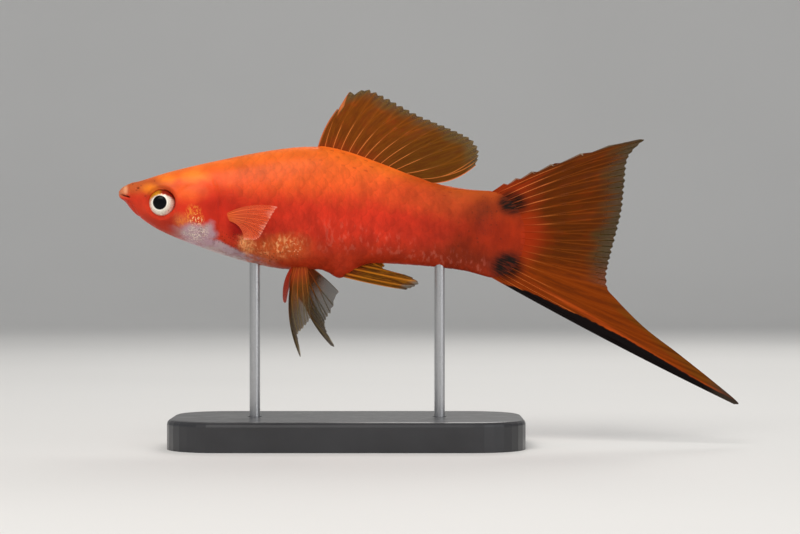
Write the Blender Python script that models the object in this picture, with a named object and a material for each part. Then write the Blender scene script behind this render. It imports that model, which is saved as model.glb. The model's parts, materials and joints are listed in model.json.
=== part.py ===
"""A male swordtail, life size, as a still display model on a plain two-rod stand.

The fish faces -X with its left side towards -Y. The frame's origin is the middle of the stand's underside.
Sizes are in millimetres. A place on the fish is (along, across, high): how far it lies behind the snout's
tip, to the fish's right of the middle plane, and above the mouth.
"""

import math

import bmesh
import bpy
from mathutils import Matrix, Vector

MM = 0.001
GAP = 0.3  # clearance that touching pieces keep

# Where the snout's tip is, from the middle of the stand's underside
SNOUT_FORWARD = -38.8
SNOUT_HIGH = 42.8

# The trunk: height of the back, the belly and the widest line above the mouth, and the half width,
# each as (along, size) pairs that a smooth curve passes through
BODY_LENGTH = 69.6
BACK = (
    (0, 1.0), (1.0, 1.35), (2.0, 1.85), (3.6, 2.2), (8.7, 3.75), (17.2, 5.75), (27.4, 7.6), (33.7, 8.0),
    (38.5, 7.1), (44.4, 5.05), (51.2, 2.5), (58.0, 1.0), (63.5, 0.55), (69.6, 0.6),
)
BELLY = (
    (0, -0.8), (1.0, -1.25), (2.2, -2.75), (3.6, -4.0), (7.0, -6.2), (13.8, -9.0), (20.6, -11.2),
    (27.4, -12.65), (33.0, -12.75), (40.0, -11.8), (47.8, -11.9), (58.0, -12.9), (63.5, -14.3),
    (69.6, -15.5),
)
WIDEST = ((0, 0.0), (7.0, -0.6), (20.0, -2.2), (34.0, -2.8), (48.0, -4.0), (60.0, -6.2), (69.6, -7.0))
HALF_WIDTH = (
    (0, 1.25), (1.5, 1.95), (3.6, 2.75), (7.0, 3.7), (12.0, 4.65), (20.0, 5.3), (30.0, 5.1), (41.0, 4.0),
    (51.0, 2.85), (60.0, 1.8), (66.0, 1.15), (69.6, 0.9),
)
# How square the section is above and below its widest line, where 2 is an ellipse
SQUARE_ABOVE = ((0, 2.6), (8.0, 2.7), (18.0, 2.3), (40.0, 2.1), (69.6, 2.0))
SQUARE_BELOW = ((0, 2.2), (10.0, 2.0), (25.0, 2.1), (40.0, 2.0), (69.6, 2.0))
SNOUT_ROUND = 1.0
TAIL_ROUND_FROM = 62.5
TAIL_EDGE_ROUND = 0.9
RINGS_ALONG = 58
POINTS_ROUND = 34
THINNEST = 0.02  # a shrunk trunk is no thinner than this at its ends

# Small forms raised on the trunk
VENT_ALONG, VENT_LENGTH, VENT_RAISE = 37.7, 2.0, 1.9
LIP_REACH, LIP_HALF_HEIGHT, LIP_RAISE = 2.1, 0.42, 0.16

# The mouth's cleft runs back and down to its corner, and the jaws part from the head there
MOUTH_CORNER = (1.95, -0.6)
MOUTH_FRONT_HIGH = -0.02
MOUTH_OPEN = 0.36
CHIN = (3.9, -4.6)

# The gill opening is an arc about a point under the eye
GILL_CENTRE, GILL_RADIUS = (3.4, -3.2), 14.0
TAIL_FROM = 46.0
BEYOND, HALF_DEPTH = 40.0, 20.0  # a cutter reaches this far past what it cuts, along and across

# The gill cover is an upright oval plate on the cheek, leaning forwards, that ends at the gill opening
COVER_ALONG, COVER_HIGH = 14.3, -3.6
COVER_HALF_LENGTH, COVER_HALF_HEIGHT, COVER_LEAN = 3.6, 4.8, math.radians(10)
COVER_RAISE, COVER_DEPTH = 0.22, 0.75

# The eye: its rim on the cheek, and the pupil's raised disc
EYE_ALONG, EYE_HIGH, EYE_ACROSS = 7.6, -1.54, 2.55
EYE_TURN = math.radians(9)
EYE_RADIUS, EYE_HALF_DEPTH = 2.25, 1.55
PUPIL_RADIUS, PUPIL_RAISE = 1.19, 0.12
EYE_SIDES, PUPIL_STEPS, BALL_STEPS = 20, 4, 9
NOSTRIL_ALONG, NOSTRIL_HIGH, NOSTRIL_RADIUS, NOSTRIL_SIDES = 3.5, 0.95, 0.33, 10

# Fins: half thickness of a ray and of the membrane, at the root and at the free edge
RAY_ROOT, RAY_TIP = 0.42, 0.24
WEB_ROOT, WEB_TIP = 0.27, 0.17
RAY_HALF_PITCH = 0.16  # share of the space between two rays
WEB_REACH = 0.975  # the membrane ends this share of the way to the ray's tip
ROOT_SINK = 1.1

DORSAL_RAYS = 14
DORSAL_FIRST_ALONG, DORSAL_PITCH, DORSAL_ROOT_LEAN = 33.95, 1.27, 0.3
DORSAL_EDGE = (  # (ray, along, high) of the ray tips
    (0, 37.1, 14.5), (1, 39.4, 17.7), (2, 42.1, 17.9), (3, 44.5, 17.2), (6, 51.2, 13.5), (8, 55.9, 11.4),
    (10, 59.9, 9.4), (11, 61.0, 7.7), (12, 60.8, 6.1), (13, 60.2, 5.0),
)
DORSAL_BOW = ((0, 0.06), (7, 0.06), (10, 0.02), (12, -0.13), (13, -0.14))

CAUDAL_RAYS = 15
CAUDAL_ROOT = ((0, 62.6, 0.25), (1, 63.7, -0.2), (2, 64.5, -0.9), (3, 64.7, -1.7), (14, 64.6, -10.3))
CAUDAL_EDGE = (
    (0, 83.9, 8.3), (1, 89.3, 9.4), (2, 87.6, 7.7), (3, 86.2, 5.9), (5, 85.8, 1.8), (7, 85.5, -2.3),
    (9, 84.7, -6.4), (11, 83.6, -10.4), (13, 82.8, -14.1), (14, 82.7, -16.0),
)
CAUDAL_BOW = ((0, 0.03), (2, 0.028), (5, 0.022), (8, 0.0), (14, -0.02))

SWORD_RAYS = 6
SWORD_ROOT = ((64.6, -10.6), (62.6, -13.4))  # (along, high) of its upper and lower end
SWORD_EDGE = (
    (0, 83.0, -16.9), (1, 89.0, -22.4), (2, 95.2, -27.2), (3, 100.6, -31.5), (4, 105.0, -35.3),
    (5, 104.6, -35.7),
)
SWORD_BOW = ((0, -0.02), (3, -0.012), (5, -0.008))

PECTORAL_RAYS = 9
PECTORAL_ROOT, PECTORAL_ACROSS = ((18.7, -3.4), (19.4, -4.9)), 4.6
PECTORAL_EDGE = (  # (ray, along, across, high)
    (0, 27.4, 8.5, -2.4), (1, 27.1, 8.6, -3.1), (3, 26.0, 8.8, -5.0), (5, 25.0, 8.5, -6.9),
    (7, 23.8, 7.9, -8.0), (8, 21.8, 7.3, -7.9),
)
PECTORAL_BOW = ((0, 0.12), (4, 0.03), (8, 0.16))

PELVIC_RAYS = 7
PELVIC_ROOT, PELVIC_ACROSS = ((29.7, -11.9), (31.9, -11.9)), 1.2
LEFT_PELVIC_EDGE = (
    (0, 28.1, 3.6, -18.2), (1, 31.1, 4.6, -27.8), (2, 30.6, 4.5, -24.8), (3, 31.2, 4.3, -23.4),
    (4, 32.1, 4.1, -22.2), (5, 32.7, 3.9, -21.0), (6, 32.8, 3.6, -19.0),
)
RIGHT_PELVIC_EDGE = (
    (0, 31.2, 3.6, -18.6), (1, 36.9, 4.6, -26.4), (2, 35.4, 4.5, -24.2), (3, 34.8, 4.3, -22.8),
    (4, 35.3, 4.1, -21.4), (5, 36.2, 3.9, -20.0), (6, 37.3, 3.4, -16.7),
)
PELVIC_BOW = ((0, -0.18), (1, -0.1), (3, -0.05), (6, 0.03))

GONOPODIUM_ROOT = ((43.6, -11.3), (38.1, -13.9))
GONOPODIUM_EDGE = (
    (0, 45.0, -12.6), (1, 45.5, -13.2), (2, 49.4, -13.9), (3, 51.2, -15.1), (4, 50.2, -15.9),
    (5, 48.8, -16.3),
)
GONOPODIUM_RAYS = 6
GONOPODIUM_BOW = ((0, 0.0), (2, 0.0), (5, -0.015))
GONOPODIUM_THICK = 1.35  # times the thickness of a fin's ray and membrane

# The stand: a flat base with two round rods that end in sockets in the belly
BASE_LENGTH, BASE_DEPTH, BASE_HIGH = 60.0, 30.0, 5.0
BASE_CORNER, BASE_EDGE = 9.0, 0.8
ROD_RADIUS, ROD_SIDES = 0.9, 20
ROD_ALONG = {"front": 23.1, "rear": 54.5}
ROD_IN_BODY, ROD_IN_BASE = 2.2, 3.0

# Colours: red, green and blue
SKIN = (0.80, 0.10, 0.03)
FIN = (0.75, 0.16, 0.02)
IRIS = (0.75, 0.68, 0.60)
STEEL = (0.60, 0.60, 0.62)
LACQUER = (0.020, 0.020, 0.022)


def smooth(points, at, part=1):
    """Reads a curve through points at a place on their first number: a cubic with Catmull-Rom slopes."""
    if at <= points[0][0]:
        return points[0][part]
    for i in range(len(points) - 1):
        if at <= points[i + 1][0]:
            break
    else:
        return points[-1][part]
    start, end = points[i], points[i + 1]
    before, after = points[max(i - 1, 0)], points[min(i + 2, len(points) - 1)]
    span = end[0] - start[0]
    t = (at - start[0]) / span
    slope_in = span * (end[part] - before[part]) / (end[0] - before[0])
    slope_out = span * (after[part] - start[part]) / (after[0] - start[0])
    return (
        (2 * t**3 - 3 * t**2 + 1) * start[part]
        + (t**3 - 2 * t**2 + t) * slope_in
        + (3 * t**2 - 2 * t**3) * end[part]
        + (t**3 - t**2) * slope_out
    )


def placed(along, across, high):
    """A place on the fish as a point in the frame, in metres."""
    return Vector((along + SNOUT_FORWARD, across, high + SNOUT_HIGH)) * MM


def bump(distance, width):
    """A smooth hill, 1 at no distance and near 0 past the width."""
    return math.exp(-((distance / width) ** 2))


def mouth_line(along):
    """Height of the mouth's cleft."""
    return MOUTH_FRONT_HIGH + (MOUTH_CORNER[1] - MOUTH_FRONT_HIGH) * along / MOUTH_CORNER[0]


def body_place(share, turn, grow=0.0):
    """A place on the trunk's skin, from its share of the length and the turn round from the back."""
    along = BODY_LENGTH * share
    snout = math.sqrt(1 - (1 - min(along / SNOUT_ROUND, 1)) ** 2)
    past = max(along - TAIL_ROUND_FROM, 0) / (BODY_LENGTH - TAIL_ROUND_FROM)
    left = max((BODY_LENGTH - along) / TAIL_EDGE_ROUND, 0)
    tail = math.sqrt(max(1 - past**2, 0))
    edge = math.sqrt(1 - (1 - min(left, 1)) ** 2)
    middle = smooth(WIDEST, along)
    above = max((smooth(BACK, along) - middle) * snout * tail + grow, THINNEST)
    below = max((middle - smooth(BELLY, along)) * snout * tail + grow, THINNEST)
    wide = max(smooth(HALF_WIDTH, along) * snout * edge + grow, THINNEST)
    up, side = math.cos(turn), math.sin(turn)
    power = 2 / smooth(SQUARE_ABOVE if up > 0 else SQUARE_BELOW, along)
    high = middle + (above if up > 0 else -below) * abs(up) ** power
    across = math.copysign(wide * abs(side) ** power, side)
    high -= VENT_RAISE * bump(along - VENT_ALONG, VENT_LENGTH) * max(-up, 0) ** 14
    if along < LIP_REACH + 1:
        for lip in (LIP_HALF_HEIGHT, -LIP_HALF_HEIGHT):
            roll = LIP_RAISE * bump(high - mouth_line(along) - lip, LIP_HALF_HEIGHT)
            roll *= 1 - min(max(along - LIP_REACH, 0), 1)
            high += roll * 0.5 * up
            across += roll * side
            along -= roll * (1 - snout) * 0.5
    stretch = (BODY_LENGTH + 2 * grow) / BODY_LENGTH
    return along * stretch - grow, across, high


def half_width_at(along, high):
    """Half width of the trunk at a height, found by walking round the section."""
    steps = 180
    best = min(
        (body_place(along / BODY_LENGTH, math.pi * i / steps) for i in range(steps + 1)),
        key=lambda place: abs(place[2] - high),
    )
    return best[1]


def new_object(name, bm, colour, roughness=0.4, metallic=0.0):
    """Turns a bmesh into a named object with its own material."""
    bmesh.ops.remove_doubles(bm, verts=bm.verts, dist=1e-6)
    bmesh.ops.recalc_face_normals(bm, faces=bm.faces)
    mesh = bpy.data.meshes.new(name)
    bm.to_mesh(mesh)
    bm.free()
    obj = bpy.data.objects.new(name, mesh)
    bpy.context.scene.collection.objects.link(obj)
    material = bpy.data.materials.new(name)
    material.use_nodes = True
    shader = material.node_tree.nodes["Principled BSDF"]
    shader.inputs["Base Color"].default_value = (*colour, 1)
    shader.inputs["Roughness"].default_value = roughness
    shader.inputs["Metallic"].default_value = metallic
    mesh.materials.append(material)
    return obj


def combine(obj, other, operation):
    """Applies a Boolean of obj with other at once, and removes other."""
    modifier = obj.modifiers.new(operation, "BOOLEAN")
    modifier.operation = operation
    modifier.object = other
    modifier.solver = "EXACT"
    graph = bpy.context.evaluated_depsgraph_get()
    result = bpy.data.meshes.new_from_object(obj.evaluated_get(graph))
    obj.modifiers.clear()
    obj.data = result
    bpy.data.objects.remove(other)
    return obj


def keep_largest(obj):
    """Keeps the largest closed surface of a mesh, so that a scrap of a cut is dropped."""
    bm = bmesh.new()
    bm.from_mesh(obj.data)
    unseen = set(bm.faces)
    pieces = []
    while unseen:
        piece, front = set(), [next(iter(unseen))]
        unseen.discard(front[0])
        while front:
            face = front.pop()
            piece.add(face)
            for edge in face.edges:
                for near in edge.link_faces:
                    if near in unseen:
                        unseen.discard(near)
                        front.append(near)
        pieces.append(piece)
    largest = max(pieces, key=lambda piece: sum(face.calc_area() for face in piece))
    scraps = [face for face in bm.faces if face not in largest]
    if scraps:
        bmesh.ops.delete(bm, geom=scraps, context="FACES")
        bm.to_mesh(obj.data)
    bm.free()
    return obj


def finished(obj, sharp=35):
    """Shades a solid smooth, with its sharp edges kept."""
    obj.data.shade_smooth()
    obj.data.set_sharp_from_angle(angle=math.radians(sharp))
    return obj


def trunk(name, grow=0.0):
    """The whole trunk from snout to tail root as one closed shape, grown or shrunk by a distance."""
    bm = bmesh.new()
    bmesh.ops.create_uvsphere(bm, u_segments=POINTS_ROUND, v_segments=RINGS_ALONG, radius=1.0)
    for vert in bm.verts:
        share = (1 - vert.co.z) / 2
        at_pole = math.hypot(vert.co.x, vert.co.y) < 1e-5
        along, across, high = body_place(share, math.atan2(vert.co.y, vert.co.x), grow)
        if at_pole:
            across, high = 0.0, smooth(WIDEST, BODY_LENGTH * share)
        vert.co = placed(along, across, high)
    return new_object(name, bm, SKIN)


def prism(name, outline, half_depth=HALF_DEPTH):
    """A side-view outline of (along, high) corners drawn out across the fish."""
    bm = bmesh.new()
    face = bm.faces.new([bm.verts.new(placed(along, -half_depth, high)) for along, high in outline])
    drawn = bmesh.ops.extrude_face_region(bm, geom=[face])["geom"]
    moved = [item for item in drawn if isinstance(item, bmesh.types.BMVert)]
    bmesh.ops.translate(bm, verts=moved, vec=Vector((0, 2 * half_depth * MM, 0)))
    return new_object(name, bm, SKIN)


def oval(along, high, half_length, half_height, lean=0.0, sides=48):
    """Corners of an oval in side view, its top leaning forwards."""
    corners = []
    for i in range(sides):
        turn = math.tau * i / sides
        corner = Vector((half_length * math.cos(turn), half_height * math.sin(turn)))
        corner.rotate(Matrix.Rotation(lean, 2))
        corners.append((along + corner.x, high + corner.y))
    return corners


def ball(name, radii, sides):
    """A ball about the origin, with three radii along, across and up."""
    bm = bmesh.new()
    bmesh.ops.create_uvsphere(bm, u_segments=sides, v_segments=sides // 2, radius=MM)
    bmesh.ops.scale(bm, verts=bm.verts, vec=Vector(radii))
    return new_object(name, bm, SKIN)


def eye_place(side):
    """Where an eye sits on the cheek, turned a little forwards with the skin."""
    turned = Matrix.Rotation(side * EYE_TURN, 4, "Z")
    return Matrix.Translation(placed(EYE_ALONG, side * EYE_ACROSS, EYE_HIGH)) @ turned


def copy_of(obj, name):
    """A copy of an object, with a mesh of its own, under another name."""
    copy = obj.copy()
    copy.name = name
    copy.data = obj.data.copy()
    bpy.context.scene.collection.objects.link(copy)
    return copy


def gill_drum(radius):
    """A drum across the fish that holds all that lies ahead of the gill opening."""
    return prism("drum", oval(*GILL_CENTRE, radius, radius))


def block(name, start, end):
    """A prism that takes in all of the fish from one place along it to another."""
    return prism(name, [(start, -BEYOND), (end, -BEYOND), (end, BEYOND), (start, BEYOND)])


def part_jaws(head, upper, lower):
    """Parts the jaws from the head, behind the lips and down the chin, with the mouth's cleft between."""
    along, high = MOUTH_CORNER
    chin_slope = (CHIN[0] - along) / (CHIN[1] - high)
    below = high - BEYOND
    head_low = (along + chin_slope * (below - high), below)
    jaw_low = (head_low[0] - GAP, below)
    front = -BEYOND
    ahead = [(front, below), head_low, (along, high), (along, BEYOND), (front, BEYOND)]
    combine(head, prism("cut", ahead), "DIFFERENCE")
    cleft = [MOUTH_FRONT_HIGH + MOUTH_OPEN / 2, MOUTH_FRONT_HIGH - MOUTH_OPEN / 2]
    corner = [(along - GAP, high + GAP / 2), (along - GAP, high - GAP / 2)]
    above_cleft = [(0, cleft[0]), corner[0], (along - GAP, BEYOND), (front, BEYOND), (front, cleft[0])]
    below_cleft = [(0, cleft[1]), (front, cleft[1]), (front, below), jaw_low, corner[1]]
    combine(upper, prism("cut", above_cleft), "INTERSECT")
    combine(lower, prism("cut", below_cleft), "INTERSECT")


def cut_sockets(head):
    """Cuts the head's pockets for the gill covers, its orbits and its nostrils."""
    outline = oval(COVER_ALONG, COVER_HIGH, COVER_HALF_LENGTH + GAP, COVER_HALF_HEIGHT + GAP, COVER_LEAN)
    pocket = prism("pocket", outline)
    combine(pocket, trunk("core", -COVER_DEPTH - GAP), "DIFFERENCE")
    combine(head, pocket, "DIFFERENCE")
    nostril_across = half_width_at(NOSTRIL_ALONG, NOSTRIL_HIGH)
    for side in (-1, 1):
        orbit = ball("orbit", (EYE_RADIUS + GAP, EYE_HALF_DEPTH + GAP, EYE_RADIUS + GAP), EYE_SIDES)
        orbit.data.transform(eye_place(side))
        combine(head, orbit, "DIFFERENCE")
        pit = ball("pit", [NOSTRIL_RADIUS] * 3, NOSTRIL_SIDES)
        pit.data.transform(Matrix.Translation(placed(NOSTRIL_ALONG, side * nostril_across, NOSTRIL_HIGH)))
        combine(head, pit, "DIFFERENCE")


def make_trunk_nodes():
    """Parts the trunk into head, jaws, torso and tail, and cuts its sockets and nostrils."""
    head = trunk("head")
    names = ("torso", "tail", "upper_jaw", "lower_jaw")
    torso, tail, upper, lower = (copy_of(head, name) for name in names)
    combine(head, gill_drum(GILL_RADIUS), "INTERSECT")
    combine(torso, gill_drum(GILL_RADIUS + GAP), "DIFFERENCE")
    combine(torso, block("cut", TAIL_FROM, TAIL_FROM + BEYOND), "DIFFERENCE")
    combine(tail, block("cut", -BEYOND, TAIL_FROM + GAP), "DIFFERENCE")
    part_jaws(head, upper, lower)
    cut_sockets(head)
    for carried, place in ((torso, "front"), (tail, "rear")):
        combine(carried, rod("hole", ROD_ALONG[place], ROD_RADIUS + GAP, GAP), "DIFFERENCE")
    for obj in (head, torso, tail, upper, lower):
        finished(keep_largest(obj))


def make_gill_covers():
    """Two thin oval plates that stand a little proud of the head."""
    for side, name in ((-1, "gill_cover_left"), (1, "gill_cover_right")):
        outline = oval(COVER_ALONG, COVER_HIGH, COVER_HALF_LENGTH, COVER_HALF_HEIGHT, COVER_LEAN)
        plate = prism(name, outline, HALF_DEPTH / 2)
        combine(plate, gill_drum(GILL_RADIUS), "INTERSECT")
        combine(plate, trunk("skin", COVER_RAISE), "INTERSECT")
        combine(plate, trunk("core", -COVER_DEPTH), "DIFFERENCE")
        other_half = block("half", -BEYOND, BEYOND)
        other_half.data.transform(Matrix.Translation((0, -side * HALF_DEPTH * MM, 0)))
        finished(keep_largest(combine(plate, other_half, "DIFFERENCE")))


def make_eyes():
    """Two eyes turned about their own axis: a domed iris behind a pupil that is raised a little."""
    edge = math.asin(PUPIL_RADIUS / EYE_RADIUS)
    profile = []
    for i in range(PUPIL_STEPS):
        radius = (PUPIL_RADIUS - PUPIL_RAISE / 2) * i / (PUPIL_STEPS - 1)
        profile.append((radius, EYE_HALF_DEPTH * math.sqrt(1 - (radius / EYE_RADIUS) ** 2) + PUPIL_RAISE))
    for i in range(BALL_STEPS):
        turn = edge + (math.pi - edge) * i / (BALL_STEPS - 1)
        profile.append((EYE_RADIUS * math.sin(turn), EYE_HALF_DEPTH * math.cos(turn)))
    for side, name in ((-1, "eye_left"), (1, "eye_right")):
        bm = bmesh.new()
        verts = [bm.verts.new(Vector((radius, side * depth, 0)) * MM) for radius, depth in profile]
        edges = [bm.edges.new(pair) for pair in zip(verts, verts[1:])]
        bmesh.ops.spin(
            bm, geom=verts + edges, cent=Vector(), axis=Vector((0, 1, 0)), angle=math.tau, steps=EYE_SIDES,
            use_merge=True,
        )
        eye = new_object(name, bm, IRIS, roughness=0.2)
        eye.data.transform(eye_place(side))
        finished(eye)


def bent(root, tip, bow, normal, share):
    """A place along a ray that bows out sideways by a share of its own length."""
    chord = tip - root
    side = normal.cross(chord)
    return root + chord * share + side * (4 * bow * share * (1 - share))


def make_fin(name, rays, normal, rows, thick=1.0):
    """A fin as one thin plate whose rays are ridges on both of its faces.

    rays holds a (root, tip, bow) for each ray, in order along the fin's root.
    """
    columns = [i + step * RAY_HALF_PITCH for i in range(len(rays)) for step in (-1, 0, 1)][1:-1]
    bm = bmesh.new()
    bmesh.ops.create_grid(bm, x_segments=len(columns) - 1, y_segments=rows, size=1.0)
    half = {}
    for vert in bm.verts:
        column = round((vert.co.x + 1) / 2 * (len(columns) - 1))
        share = (vert.co.y + 1) / 2
        at = columns[column]
        first = min(int(at), len(rays) - 2)
        on_ray = at == round(at)
        reach = share * (1.0 if on_ray else WEB_REACH)
        near = bent(*rays[first], normal, reach)
        far = bent(*rays[first + 1], normal, reach)
        vert.co = near.lerp(far, at - first)
        root, tip = (RAY_ROOT, RAY_TIP) if on_ray else (WEB_ROOT, WEB_TIP)
        half[vert.index] = (root + (tip - root) * share) * thick
    bmesh.ops.triangulate(bm, faces=bm.faces)
    bm.verts.ensure_lookup_table()
    depth = bm.verts.layers.float.new("half thickness")
    for vert in bm.verts:
        vert[depth] = half[vert.index]
    drawn = bmesh.ops.extrude_face_region(bm, geom=list(bm.faces))["geom"]
    moved = {item for item in drawn if isinstance(item, bmesh.types.BMVert)}
    for vert in bm.verts:
        offset = normal * (vert[depth] if vert in moved else -vert[depth])
        vert.co = placed(*(vert.co + offset))
    bm.verts.layers.float.remove(depth)
    return new_object(name, bm, FIN)


def set_on_body(fin):
    """Cuts a fin's root to the skin, with the gap that touching pieces keep."""
    combine(fin, trunk("skin", GAP), "DIFFERENCE")
    return finished(keep_largest(fin), 60)


def ray_tip(points, index):
    """The tip of a ray on an outline of (ray, place...) points."""
    return [smooth(points, index, part) for part in range(1, len(points[0]))]


def spread(ends, count):
    """Evenly spaced (along, high) places from one end to the other."""
    first, last = (Vector(end) for end in ends)
    return [first.lerp(last, i / (count - 1)) for i in range(count)]


def median_fin(name, roots, edge, bows, rows, thick=1.0):
    """A fin in the middle plane, from the (along, high) roots of its rays."""
    rays = []
    for i, (along, high) in enumerate(roots):
        tip_along, tip_high = ray_tip(edge, i)
        rays.append((Vector((along, 0, high)), Vector((tip_along, 0, tip_high)), -smooth(bows, i)))
    set_on_body(make_fin(name, rays, Vector((0, 1, 0)), rows, thick))


def paired_fin(name, side, roots, root_across, edge, bows, rows):
    """A fin of one side, whose plate faces the way that its root and outer tips give."""
    rays = []
    for i, (along, high) in enumerate(roots):
        tip_along, tip_across, tip_high = ray_tip(edge, i)
        root = Vector((along, side * root_across, high))
        rays.append((root, Vector((tip_along, side * tip_across, tip_high)), -smooth(bows, i)))
    normal = (rays[0][1] - rays[0][0]).cross(rays[-1][1] - rays[0][0]).normalized()
    set_on_body(make_fin(name, rays, normal if normal.y > 0 else -normal, rows))


def make_median_fins():
    """The dorsal fin, the caudal fin with the sword below it, and the gonopodium."""
    dorsal = []
    for i in range(DORSAL_RAYS):
        along = DORSAL_FIRST_ALONG + DORSAL_PITCH * i
        dorsal.append((along - DORSAL_ROOT_LEAN, smooth(BACK, along) - ROOT_SINK))
    median_fin("dorsal_fin", dorsal, DORSAL_EDGE, DORSAL_BOW, 5)
    caudal = [ray_tip(CAUDAL_ROOT, i) for i in range(CAUDAL_RAYS)]
    median_fin("caudal_fin", caudal, CAUDAL_EDGE, CAUDAL_BOW, 6)
    median_fin("sword", spread(SWORD_ROOT, SWORD_RAYS), SWORD_EDGE, SWORD_BOW, 10)
    anal = spread(GONOPODIUM_ROOT, GONOPODIUM_RAYS)
    median_fin("gonopodium", anal, GONOPODIUM_EDGE, GONOPODIUM_BOW, 6, GONOPODIUM_THICK)


def make_paired_fins():
    """The pectoral fins, spread from behind the gill covers, and the pelvic fins, which point down."""
    pectoral = spread(PECTORAL_ROOT, PECTORAL_RAYS)
    pelvic = spread(PELVIC_ROOT, PELVIC_RAYS)
    for side, word, edge in ((-1, "left", LEFT_PELVIC_EDGE), (1, "right", RIGHT_PELVIC_EDGE)):
        name = f"pectoral_fin_{word}"
        paired_fin(name, side, pectoral, PECTORAL_ACROSS, PECTORAL_EDGE, PECTORAL_BOW, 4)
        paired_fin(f"pelvic_fin_{word}", side, pelvic, PELVIC_ACROSS, edge, PELVIC_BOW, 6)


def rod(name, along, radius, longer=0.0):
    """A round rod from inside the base up into the belly."""
    low = BASE_HIGH - ROD_IN_BASE + GAP - longer
    high = SNOUT_HIGH + smooth(BELLY, along) + ROD_IN_BODY + longer
    bm = bmesh.new()
    bmesh.ops.create_cone(
        bm, cap_ends=True, segments=ROD_SIDES, radius1=radius * MM, radius2=radius * MM, depth=(high - low) * MM
    )
    bmesh.ops.translate(bm, verts=bm.verts, vec=Vector((along + SNOUT_FORWARD, 0, (low + high) / 2)) * MM)
    return new_object(name, bm, STEEL, roughness=0.25, metallic=1.0)


def make_stand():
    """The flat base with rounded corners, bored for the two rods that carry the fish."""
    bm = bmesh.new()
    bmesh.ops.create_cube(bm, size=1.0)
    bmesh.ops.scale(bm, verts=bm.verts, vec=Vector((BASE_LENGTH, BASE_DEPTH, BASE_HIGH)) * MM)
    bmesh.ops.translate(bm, verts=bm.verts, vec=Vector((0, 0, BASE_HIGH / 2)) * MM)
    upright = [edge for edge in bm.edges if abs((edge.verts[0].co - edge.verts[1].co).z) > MM]
    bmesh.ops.bevel(bm, geom=upright, offset=BASE_CORNER * MM, segments=8, profile=0.5, affect="EDGES")
    top = [edge for edge in bm.edges if all(vert.co.z > BASE_HIGH / 2 * MM for vert in edge.verts)]
    bmesh.ops.bevel(bm, geom=top, offset=BASE_EDGE * MM, segments=3, profile=0.5, affect="EDGES")
    base = new_object("stand_base", bm, LACQUER, roughness=0.3)
    for place, along in ROD_ALONG.items():
        combine(base, rod("bore", along, ROD_RADIUS + GAP, GAP), "DIFFERENCE")
        finished(rod(f"stand_rod_{place}", along, ROD_RADIUS))
    finished(base)


def main():
    for old in list(bpy.data.objects):
        bpy.data.objects.remove(old)
    make_trunk_nodes()
    make_gill_covers()
    make_eyes()
    make_median_fins()
    make_paired_fins()
    make_stand()


main()
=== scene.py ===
"""Looks of a male swordtail: a life-size display model on a plain two-rod stand.

Sizes are in millimetres on the fish itself. A place there is (along, across, high): how far it lies behind the
snout's tip, to the fish's right of its middle plane, and above its mouth.
"""

from __future__ import annotations

import json
import logging
import math
import sys
from dataclasses import dataclass, field
from enum import Enum
from functools import lru_cache
from typing import Iterable, Optional, Sequence, Union

import bmesh
import bpy
from mathutils import Matrix, Vector

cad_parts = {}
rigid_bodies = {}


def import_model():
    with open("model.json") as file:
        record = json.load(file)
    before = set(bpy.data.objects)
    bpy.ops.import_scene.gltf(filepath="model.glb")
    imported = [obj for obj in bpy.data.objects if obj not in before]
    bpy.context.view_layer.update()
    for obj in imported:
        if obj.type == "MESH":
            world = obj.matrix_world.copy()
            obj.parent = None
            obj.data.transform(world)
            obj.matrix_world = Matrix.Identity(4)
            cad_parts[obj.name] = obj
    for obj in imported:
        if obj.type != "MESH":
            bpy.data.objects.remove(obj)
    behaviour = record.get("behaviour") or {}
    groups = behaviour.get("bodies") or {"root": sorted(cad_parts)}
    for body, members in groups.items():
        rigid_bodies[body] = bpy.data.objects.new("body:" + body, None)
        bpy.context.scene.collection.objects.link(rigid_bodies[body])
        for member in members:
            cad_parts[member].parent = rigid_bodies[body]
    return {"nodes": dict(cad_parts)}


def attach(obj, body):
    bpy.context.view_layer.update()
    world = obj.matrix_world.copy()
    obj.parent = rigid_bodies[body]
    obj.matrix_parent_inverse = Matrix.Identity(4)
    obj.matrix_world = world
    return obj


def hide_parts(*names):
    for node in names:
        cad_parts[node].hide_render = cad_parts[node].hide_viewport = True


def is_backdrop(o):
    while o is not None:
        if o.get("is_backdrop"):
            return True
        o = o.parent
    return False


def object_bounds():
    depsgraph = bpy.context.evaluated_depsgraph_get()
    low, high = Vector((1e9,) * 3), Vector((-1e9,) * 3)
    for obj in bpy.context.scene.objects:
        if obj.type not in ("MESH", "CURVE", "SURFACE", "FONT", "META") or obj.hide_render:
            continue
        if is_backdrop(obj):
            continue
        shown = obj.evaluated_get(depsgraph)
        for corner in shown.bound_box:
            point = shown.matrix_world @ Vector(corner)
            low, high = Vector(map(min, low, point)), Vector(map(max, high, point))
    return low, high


log = logging.getLogger("swordtail")

MM = 0.001
SNOUT_FORWARD = -38.8
SNOUT_HIGH = 42.8
FLESH_NODES = ("head", "upper_jaw", "lower_jaw", "torso", "tail", "gill_cover_left", "gill_cover_right")

Colour = tuple[float, float, float]
Points = Sequence[Sequence[float]]
Source = Union[float, Colour, bpy.types.NodeSocket]


class Side(Enum):
    """A side of the fish, as the sign of its places across."""

    LEFT = -1
    RIGHT = 1

    @property
    def word(self) -> str:
        """The side's name in lower case."""
        return self.name.lower()


def placed(place: Vector) -> Vector:
    """A place on the fish as a point in the frame, in metres."""
    return (place + Vector((SNOUT_FORWARD, 0.0, SNOUT_HIGH))) * MM


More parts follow.
